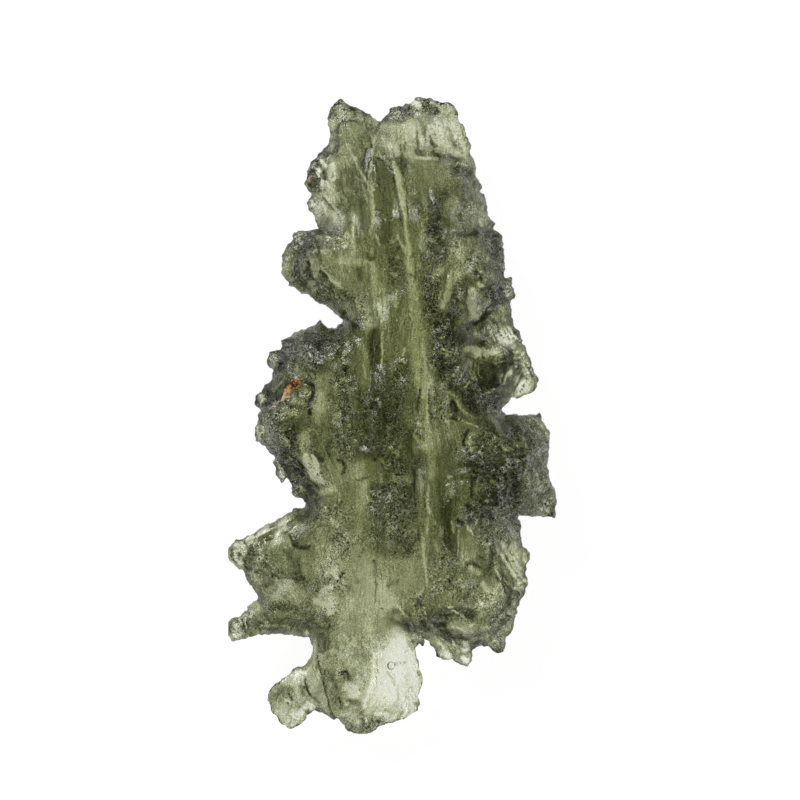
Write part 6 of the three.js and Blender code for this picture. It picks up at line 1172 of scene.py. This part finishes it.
def etched_skin_group():
    """Grain of etched glass: lightness with painted glints on a few chips, roughness, height and frost from
    its masks.
    """
    group, wiring, given, result = new_group(
        "etched_skin", ("Tone", "Pitted", "Clear", "Steep"), ("Flow", "Place"),
        ("Lightness", "Roughness", "Height", "Frost"),
    )
    stretch, product, total = wiring.stretch, wiring.product, wiring.total
    place, pitted = given["Place"], given["Pitted"]
    sheer = wiring.maths("SUBTRACT", 1.0, pitted)
    bent = wiring.vector_maths("ADD", place, wiring.jitter(place, scale=3.0, reach=0.10))
    flowing = wiring.scaled(given["Flow"], (4.5, 1.0, 2.0))

    speckle = wiring.signed(wiring.noise(place, 13.0, detail=1.0), 0.2)
    clots = wiring.signed(wiring.noise(bent, 3.2, detail=2.0, rough=0.6, seed=3.0), 0.22)
    bright_veins = wiring.veins(bent, 4.8, 0.055, seed=5.0)
    dark_veins = wiring.veins(bent, 4.2, 0.065, seed=9.0)
    streaks = wiring.signed(wiring.noise(flowing, 1.0, detail=3.0, rough=0.7, seed=7.0), 0.22)
    bright_lines = wiring.veins(flowing, 1.1, 0.045, seed=13.0)
    dark_lines = wiring.veins(flowing, 0.9, 0.05, seed=17.0)
    patches = stretch(wiring.noise(place, 0.9, seed=11.0), 0.35, 0.65, 0.55, 1.25)
    clusters = wiring.noise(place, 1.6, detail=1.0, seed=21.0)
    bright_veins = product(bright_veins, stretch(clusters, 0.4, 0.62, 0.25, 1.5))

    # A few fresh chips in the pitted skin catch the light: their glints are painted into the lightness, and
    # they also give the coat its shine.
    chips = wiring.add("ShaderNodeTexVoronoi", {"Vector": bent, "Scale": 5.5}, feature="F1")
    lit = wiring.add("ShaderNodeSeparateColor", {"Color": chips.outputs["Color"]}).outputs["Red"]
    lit = stretch(lit, 0.84, 0.92, 0.0, 1.0)
    lit = product(lit, stretch(chips.outputs["Distance"], 0.2, 0.45, 1.0, 0.0))
    sparks = product(lit, pitted, 0.5)

    # Pitted skin is veined and clotted, sheer skin is combed along the flow.
    rugged = total((bright_veins, 0.50), (dark_veins, -0.75), (clots, 0.24), (speckle, 0.52))
    combed = total((bright_lines, 0.20), (dark_lines, -0.20), (streaks, 0.17), (speckle, 0.27))
    change = wiring.maths("ADD", product(rugged, pitted), product(combed, sheer))
    calm = stretch(given["Clear"], 0.0, 1.0, 1.0, 0.4)
    change = product(change, patches, calm)

    reach = stretch(given["Tone"], 0.0, 1.0, 0.20, 0.70)
    lightness = wiring.maths("ADD", given["Tone"], product(change, reach))
    # Painted highlight: the chips' glints lighten the colour here.
    wiring.put(result["Lightness"], total((lightness, 1.0), (sparks, 0.4)))
    bright = wiring.maths("MAXIMUM", given["Clear"], product(pitted, 0.75))
    wiring.put(result["Roughness"], stretch(bright, 0.0, 0.9, 0.20, 0.05))
    swing = stretch(given["Steep"], 0.0, 1.0, GRAIN_BUMP, STEEP_BUMP)
    wiring.put(result["Height"], product(change, swing))
    frost = total((product(bright_veins, pitted), 2.6), (sparks, 2.2))
    faded = product(frost, stretch(given["Steep"], 0.0, 1.0, 1.0, 0.2))
    wiring.put(result["Frost"], wiring.maths("MULTIPLY", faded, patches, clamp=True))
    return group


def plain_material(name, values):
    """A material whose shader's sockets hold these plain values."""
    material = bpy.data.materials.new(name)
    material.use_nodes = True
    sockets = material.node_tree.nodes["Principled BSDF"].inputs
    for label, value in values.items():
        sockets[label].default_value = value
    return material


def dress(wiring, colour, height, distance, strength):
    """Joins a colour and a fine relief to the material's shader, and gives its sockets."""
    sockets = wiring.nodes["Principled BSDF"].inputs
    wiring.put(sockets["Base Color"], colour)
    values = {"Height": height, "Distance": distance, "Strength": strength}
    wiring.put(sockets["Normal"], wiring.add("ShaderNodeBump", values).outputs["Normal"])
    return sockets


def glass_material(settings):
    """Clear green glass with an etched skin."""
    material = plain_material("moldavite_glass", {
        "Transmission Weight": 0.95,
        "IOR": settings.ior,
        "Coat IOR": 2.2,
        "Coat Roughness": 0.5,
        "Specular IOR Level": 0.3,
        "Specular Tint": (0.90, 0.94, 0.84, 1),
    })
    wiring = Wiring(material.node_tree)
    skin = wiring.add("ShaderNodeGroup", node_tree=etched_skin_group())
    for label, output in (
        ("Tone", "Fac"), ("Pitted", "Fac"), ("Clear", "Fac"), ("Steep", "Fac"), ("Flow", "Vector"),
    ):
        mask = wiring.add("ShaderNodeAttribute", attribute_name=label.lower())
        wiring.put(skin.inputs[label], mask.outputs[output])
    wiring.put(skin.inputs["Place"], wiring.place_in_mm())
    colour = wiring.ramp(skin.outputs["Lightness"], GLASS_RAMP)
    sockets = dress(wiring, colour, skin.outputs["Height"], distance=0.12 * MM, strength=0.8)
    wiring.put(sockets["Roughness"], skin.outputs["Roughness"])
    wiring.put(sockets["Coat Weight"], skin.outputs["Frost"])

    volume = wiring.add("ShaderNodeVolumeAbsorption")
    volume.inputs["Color"].default_value = (*settings.absorption, 1)
    volume.inputs["Density"].default_value = settings.density
    wiring.put(wiring.nodes["Material Output"].inputs["Volume"], volume.outputs["Volume"])
    return material


def floor_material(settings):
    """Pale matt floor with a little light of its own."""
    return plain_material("pale_floor", {
        "Base Color": (*settings.floor_colour, 1),
        "Roughness": 0.9,
        "Specular IOR Level": 0.0,
        "Emission Color": (1, 1, 1, 1),
        "Emission Strength": settings.floor_glow,
    })


def bubble_material(settings):
    """Clear wall between the glass and the gas in it."""
    return plain_material("bubble_wall", {
        "Transmission Weight": 1.0,
        "IOR": settings.ior,
        "Roughness": 0.02,
        "Base Color": (1, 1, 1, 1),
    })


def clay_material():
    """Dry clay: dark red-brown in its middle, orange and ochre round it, pale at its lower end."""
    material = plain_material("clay", {"Roughness": 0.9})
    wiring = Wiring(material.node_tree)
    place = wiring.place_in_mm()
    heart = wiring.vector_maths("SUBTRACT", place, (*CLAY_HEART, 0.0))
    away = wiring.vector_maths("LENGTH", wiring.scaled(heart, (1.0, 1.0, 0.0)), output="Value")
    mottle = wiring.maths("SUBTRACT", wiring.noise(place, 7.0, detail=3.0, rough=0.65), 0.5)
    colour = wiring.ramp(wiring.total((away, 0.85), (mottle, 1.9)), CLAY_RAMP)
    crumb = wiring.noise(place, 16.0, detail=3.0, rough=0.7)
    dress(wiring, colour, crumb, distance=0.05 * MM, strength=0.8)
    return material


def grain_material(kind):
    """One kind of sand grain or mineral chip."""
    material = plain_material("grain_" + kind, {"Roughness": 0.7})
    wiring = Wiring(material.node_tree)
    place = wiring.place_in_mm()
    level = wiring.noise(place, 12.0, detail=2.0, rough=0.6)
    colour = np.array(GRAIN_COLOURS[kind])
    stops = [(at, tuple(np.minimum(colour * shade, 1))) for at, shade in GRAIN_SHADES]
    crumb = wiring.noise(place, 20.0, detail=2.0)
    dress(wiring, wiring.ramp(level, stops), crumb, distance=0.03 * MM, strength=0.7)
    return material


# ---- what is sealed in the stone and stuck to it ----

# Gas bubbles near the upper face: diameter, x and y in mm, and length along the stone over width.
BUBBLES = (
    (0.46, -0.09, -13.77, 1.0), (0.20, 0.20, -13.68, 1.2), (0.10, 0.42, -13.60, 1.8),
    (0.15, -0.62, -14.75, 1.3), (0.12, 0.75, -12.95, 1.2), (0.16, -5.30, -15.85, 1.5),
    (0.20, 2.35, 15.55, 1.6), (0.14, 1.20, 15.05, 2.2), (0.22, -3.30, 13.25, 1.4),
    (0.13, -3.55, 11.20, 1.6), (0.16, 6.85, 1.75, 1.3), (0.14, 3.70, -13.10, 1.2),
    (0.18, -8.55, -7.55, 1.1), (0.12, -6.55, 3.15, 1.3),
)
# As shares of a bubble's diameter: its half height, the depth of its middle, to which the cover
# in mm is added, and the thickness of glass that it needs.
BUBBLE_HALF_HEIGHT = 0.2
BUBBLE_DEPTH = 0.3
BUBBLE_COVER = 0.08
BUBBLE_ROOM = 1.2

# Clay in its pit: x and y in mm along the middle of the lump, and its half width there.
CLAY_RUN = (
    (-4.93, 1.95, 0.06), (-5.12, 1.90, 0.19), (-5.32, 1.80, 0.25), (-5.52, 1.60, 0.25),
    (-5.68, 1.36, 0.23), (-5.84, 1.12, 0.22), (-5.99, 0.94, 0.16), (-6.14, 0.80, 0.05),
)
# In mm: how far the clay stands out, how far its rim is sunk, how deep its root lies, and how far
# its border is pushed about.
CLAY_RISE = 0.12
CLAY_SINK = 0.015
CLAY_ROOT = 0.06
CLAY_RAGGED = 0.11
CLAY_ROWS = 64
CLAY_COLUMNS = 17
# Its dark heart on the plan, in mm, and its colours outwards from there.
CLAY_HEART = (-5.42, 1.74)
CLAY_RAMP = (
    (0.02, (0.06, 0.012, 0.004)), (0.12, (0.26, 0.08, 0.02)), (0.26, (0.60, 0.29, 0.09)),
    (0.45, (0.78, 0.48, 0.20)), (0.75, (0.86, 0.68, 0.44)),
)

# Crumbs and grains: kind, length and width in mm, x and y in mm, and turn in degrees.
GRAINS = (
    ("cream", 0.15, 0.11, -6.22, 0.78, 40), ("cream", 0.11, 0.08, -6.30, 0.67, 10),
    ("pink", 0.14, 0.10, -6.45, 0.62, 75), ("cream", 0.17, 0.12, -6.58, 0.50, 30),
    ("pink", 0.13, 0.10, -6.52, 0.40, 0), ("cream", 0.10, 0.08, -6.37, 0.50, 60),
    ("cream", 0.12, 0.09, -6.68, 0.42, 20), ("cream", 0.09, 0.07, -5.93, 0.80, 15),
    ("ochre", 0.12, 0.09, -5.02, 1.72, 50), ("cream", 0.10, 0.07, -4.93, 2.02, 0),
    ("tan", 0.38, 0.24, -4.56, 12.98, 80), ("tan", 0.15, 0.10, -4.56, 13.56, 70),
    ("ochre", 0.16, 0.12, -4.50, 12.84, 20), ("straw", 0.34, 0.17, 1.44, -14.20, 110),
    ("straw", 0.13, 0.10, -5.62, -0.70, 0), ("ochre", 0.14, 0.10, -2.72, -9.72, 30),
    ("red", 0.17, 0.06, -1.66, 14.53, 28), ("pink", 0.09, 0.07, -1.56, 14.56, 0),
    ("red", 0.20, 0.07, 5.07, -7.24, 105), ("cream", 0.12, 0.08, 5.17, -7.09, 20),
    ("cream", 0.09, 0.06, -0.98, 5.34, 90), ("straw", 0.08, 0.06, 4.88, 7.86, 0),
)
# As shares of a grain's width: its half height, and how far its middle stands over the surface.
GRAIN_HALF_HEIGHT = 0.4
GRAIN_LIFT = 0.12
# The colour of each kind, and its shading: the level of the noise, and the share of the colour.
GRAIN_COLOURS = {
    "cream": (0.66, 0.58, 0.44), "pink": (0.62, 0.42, 0.33), "tan": (0.52, 0.42, 0.27),
    "ochre": (0.42, 0.25, 0.09), "straw": (0.70, 0.60, 0.32), "red": (0.52, 0.09, 0.07),
}
GRAIN_SHADES = ((0.3, 0.55), (0.5, 1.0), (0.7, 1.35))


def stone_tree():
    """The finished stone, for finding its surface."""
    mesh = bpy.data.objects["stone"].data
    return BVHTree.FromPolygons([vertex.co for vertex in mesh.vertices],
                                [face.vertices for face in mesh.polygons])


def face_height(tree, x, y, from_below=False):
    """Height in mm of the stone's upper or lower face at a place on the plan, or None."""
    clear_of_it, way = (-5, 1) if from_below else (20, -1)
    hit = tree.ray_cast(Vector((x, y, clear_of_it)) * MM, Vector((0, 0, way)))[0]
    return None if hit is None else hit.z / MM


def upper_face(tree, x, y):
    """Height in mm of the stone's upper face at a place where the stone has to be."""
    height = face_height(tree, x, y)
    if height is None:
        raise RuntimeError(f"nothing of the stone at {x}, {y}")
    return height


def new_piece(name, shell, material):
    """Makes an object of a bmesh, with its material, and joins it to the stone's body."""
    mesh = bpy.data.meshes.new(name)
    shell.to_mesh(mesh)
    shell.free()
    mesh.shade_smooth()
    mesh.materials.append(material)
    piece = bpy.data.objects.new(name, mesh)
    bpy.context.scene.collection.objects.link(piece)
    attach(piece, BODY)


def lumpy_ball(shell, middle, half_sizes, turn, uneven, seed):
    """Adds an uneven rounded lump to a bmesh; sizes in mm, turn about Z in radians."""
    made = bmesh.ops.create_icosphere(shell, subdivisions=3, radius=1.0)["verts"]
    shift = Vector((seed * 3.7, seed * 1.9, seed * 5.3))
    cosine, sine = math.cos(turn), math.sin(turn)
    for vertex in made:
        way = vertex.co.normalized()
        swell = 1 + uneven * (noise.noise(way * 1.3 + shift) + 0.5 * noise.noise(way * 3.1 + shift))
        local = Vector(way[k] * half_sizes[k] * swell for k in range(3))
        vertex.co = Vector((middle[0] + local.x * cosine - local.y * sine,
                            middle[1] + local.x * sine + local.y * cosine,
                            middle[2] + local.z)) * MM


def bubble_shell(tree):
    """Closed gas bubbles a little way under the upper face, with their walls facing inward."""
    shell = bmesh.new()
    for k, (size, x, y, length) in enumerate(BUBBLES):
        steps = (-size, 0, size)
        around = [face_height(tree, x + dx, y + dy) for dx in steps for dy in steps]
        top = min(height for height in around if height is not None)
        room = top - face_height(tree, x, y, from_below=True)
        if room < size * BUBBLE_ROOM:
            raise RuntimeError(f"no room for a bubble at {x}, {y}")
        depth = min(BUBBLE_DEPTH * size + BUBBLE_COVER, room / 2)
        half_sizes = (size / 2, size / 2 * length, size * BUBBLE_HALF_HEIGHT)
        lumpy_ball(shell, (x, y, top - depth), half_sizes, turn=0.1, uneven=0.06, seed=k)
    bmesh.ops.reverse_faces(shell, faces=shell.faces)
    return shell


def at_zero(plan):
    """Places on the plan as points at height 0."""
    flat = plan.reshape(-1, 2)
    return np.column_stack([flat, np.zeros(len(flat))])


def clay_rows(share):
    """Places in rows across the lump of clay, with an even border and with its ragged one."""
    stops = np.array(CLAY_RUN)
    spots = np.linspace(0, len(stops) - 1, CLAY_ROWS)
    run = np.stack([np.interp(spots, np.arange(len(stops)), stops[:, k]) for k in range(3)], -1)
    for _ in range(3):
        run[1:-1] = (run[:-2] + 2 * run[1:-1] + run[2:]) / 4
    lead = np.gradient(run[:, :2], axis=0)
    lead /= np.linalg.norm(lead, axis=1)[:, None]
    side = np.stack([-lead[:, 1], lead[:, 0]], -1)
    even = run[:, None, :2] + side[:, None] * (run[:, 2:, None] * share[None, :, None])
    push = value_noise(at_zero(even), (0.13, 0.13, 1), seed=70).reshape(CLAY_ROWS, CLAY_COLUMNS)
    return even, even + side[:, None] * (push * np.abs(share) * CLAY_RAGGED)[..., None]


def closed_slab(plan, upper_heights, lower_heights):
    """A closed slab between two grids of heights over the same places, in mm."""
    rows, columns = upper_heights.shape
    shell = bmesh.new()
    upper, lower = [
        [[shell.verts.new((*(plan[i, j] * MM), heights[i, j] * MM)) for j in range(columns)]
         for i in range(rows)]
        for heights in (upper_heights, lower_heights)
    ]
    for i in range(rows - 1):
        for j in range(columns - 1):
            shell.faces.new((upper[i][j], upper[i][j + 1], upper[i + 1][j + 1], upper[i + 1][j]))
            shell.faces.new((lower[i][j], lower[i + 1][j], lower[i + 1][j + 1], lower[i][j + 1]))
    rim = [(0, j) for j in range(columns)] + [(i, columns - 1) for i in range(1, rows)]
    rim += [(rows - 1, j) for j in range(columns - 2, -1, -1)]
    rim += [(i, 0) for i in range(rows - 2, 0, -1)]
    for (i, j), (p, q) in zip(rim, rim[1:] + rim[:1]):
        shell.faces.new((upper[i][j], lower[i][j], lower[p][q], upper[p][q]))
    bmesh.ops.recalc_face_normals(shell, faces=shell.faces)
    return shell


def clay_shell(tree):
    """A lump of clay that fills its pit: a thin closed slab over the surface."""
    share = np.linspace(-1, 1, CLAY_COLUMNS)
    even, plan = clay_rows(share)
    ground = np.array([[upper_face(tree, *place) for place in row] for row in plan])
    # The top of the clay follows this smoother bed, or the ground where that is higher.
    bed = ground.copy()
    for _ in range(6):
        bed[1:-1, 1:-1] = (bed[:-2, 1:-1] + bed[2:, 1:-1] + bed[1:-1, :-2] + bed[1:-1, 2:]) / 4
    lumps = mixed_noise(at_zero(even), (0.16, 0.16, 1), (0.07, 0.07, 1), share=0.5, seed=71)
    rise = CLAY_RISE * np.sqrt(np.clip(1 - share[None] ** 2, 0, 1))
    rise = rise * (1 + 0.45 * lumps.reshape(ground.shape))
    rise *= np.sin(np.linspace(0, math.pi, CLAY_ROWS))[:, None] ** 0.4
    return closed_slab(plan, np.maximum(bed, ground) + rise - CLAY_SINK, ground - CLAY_ROOT)


def grain_shell(tree, kind):
    """All the grains of one kind, partly sunk into the upper face."""
    shell = bmesh.new()
    for k, (own, length, width, x, y, turn) in enumerate(GRAINS):
        if own == kind:
            half_sizes = (length / 2, width / 2, width * GRAIN_HALF_HEIGHT)
            middle = (x, y, upper_face(tree, x, y) + width * GRAIN_LIFT)
            lumpy_ball(shell, middle, half_sizes, math.radians(turn), uneven=0.3, seed=k)
    return shell


# ---- the stage ----


def lay_floor(context, settings):
    """A wide pale floor just under the stone."""
    height = cad_box[0].z - FLOOR_GAP
    bpy.ops.mesh.primitive_plane_add(size=2.0, location=(0, 0, height))
    floor = context.object
    floor.name = "floor"
    floor.data.materials.append(floor_material(settings))


def hang_lamp(scene, name, place, width, power):
    """A square lamp that faces the stone."""
    lamp = bpy.data.lights.new(name, "AREA")
    lamp.size = width
    lamp.energy = power
    holder = bpy.data.objects.new(name, lamp)
    holder.location = place
    holder.rotation_euler = (-holder.location).to_track_quat("-Z", "Y").to_euler()
    scene.collection.objects.link(holder)


def set_camera(scene, settings):
    """A camera that looks straight down on the stone."""
    camera = bpy.data.cameras.new("camera")
    camera.lens = settings.lens
    camera.sensor_width = 36.0
    camera.clip_start = 0.01
    camera.clip_end = 10.0
    distance = settings.frame_width * camera.lens / camera.sensor_width
    middle = (cad_box[0].z + cad_box[1].z) / 2
    holder = bpy.data.objects.new("camera", camera)
    holder.location = (*settings.aim, middle + distance)
    scene.collection.objects.link(holder)
    scene.camera = holder
    scene.view_settings.view_transform = "Standard"


# ---- operators ----


class MOLDAVITE_OT_stone(Operator):
    """Make the etched stone from the CAD solid"""

    bl_idname = "moldavite.stone"
    bl_label = "Stone"

    def execute(self, context):
        settings = context.scene.moldavite_stone
        mesh = rounded_node(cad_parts[STONE_NODE])
        etch(mesh, settings)
        mesh.shade_smooth()
        mesh.materials.clear()
        mesh.materials.append(glass_material(settings))
        stone = bpy.data.objects.new("stone", mesh)
        context.scene.collection.objects.link(stone)
        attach(stone, BODY)
        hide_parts(STONE_NODE)
        return {"FINISHED"}


class MOLDAVITE_OT_bubbles(Operator):
    """Seal the gas bubbles in the stone"""

    bl_idname = "moldavite.bubbles"
    bl_label = "Bubbles"

    def execute(self, context):
        settings = context.scene.moldavite_stone
        new_piece("bubbles", bubble_shell(stone_tree()), bubble_material(settings))
        return {"FINISHED"}


class MOLDAVITE_OT_clay(Operator):
    """Press the clay into its pit"""

    bl_idname = "moldavite.clay"
    bl_label = "Clay"

    def execute(self, context):
        new_piece("clay", clay_shell(stone_tree()), clay_material())
        return {"FINISHED"}


class MOLDAVITE_OT_grains(Operator):
    """Stick the crumbs, sand grains and red chips to the stone"""

    bl_idname = "moldavite.grains"
    bl_label = "Grains"

    def execute(self, context):
        tree = stone_tree()
        for kind in GRAIN_COLOURS:
            new_piece("grains_" + kind, grain_shell(tree, kind), grain_material(kind))
        return {"FINISHED"}


class MOLDAVITE_OT_stage(Operator):
    """Lay the pale floor, hang the soft lights and set the camera"""

    bl_idname = "moldavite.stage"
    bl_label = "Stage"

    def execute(self, context):
        settings = context.scene.moldavite_stage
        lay_floor(context, settings)
        world = bpy.data.worlds.new("sky")
        context.scene.world = world
        world.use_nodes = True
        background = world.node_tree.nodes["Background"].inputs
        background["Color"].default_value = (1, 1, 1, 1)
        background["Strength"].default_value = settings.sky
        for lamp in LAMPS:
            hang_lamp(context.scene, *lamp)
        set_camera(context.scene, settings)
        return {"FINISHED"}


class MOLDAVITE_PT_panel(Panel):
    """Lists the pieces and the stage"""

    bl_idname = "MOLDAVITE_PT_panel"
    bl_label = "Moldavite"
    bl_space_type = "VIEW_3D"
    bl_region_type = "UI"
    bl_category = "Moldavite"

    def draw(self, context):
        for settings in (context.scene.moldavite_stone, context.scene.moldavite_stage):
            for name in settings.__annotations__:
                self.layout.prop(settings, name)
        for operator in OPERATORS:
            self.layout.operator(operator.bl_idname)


OPERATORS = (
    MOLDAVITE_OT_stone, MOLDAVITE_OT_bubbles, MOLDAVITE_OT_clay, MOLDAVITE_OT_grains,
    MOLDAVITE_OT_stage,
)
CLASSES = (StoneSettings, StageSettings, *OPERATORS, MOLDAVITE_PT_panel)


def register():
    for cls in CLASSES:
        register_class(cls)
    bpy.types.Scene.moldavite_stone = PointerProperty(type=StoneSettings)
    bpy.types.Scene.moldavite_stage = PointerProperty(type=StageSettings)


def unregister():
    del bpy.types.Scene.moldavite_stage
    del bpy.types.Scene.moldavite_stone
    for cls in reversed(CLASSES):
        unregister_class(cls)


def main():
    """Builds the stone, all that belongs to it and the stage."""
    register()
    bpy.ops.moldavite.stone()
    bpy.ops.moldavite.bubbles()
    bpy.ops.moldavite.clay()
    bpy.ops.moldavite.grains()
    bpy.ops.moldavite.stage()


if __name__ == "__main__":
    main()
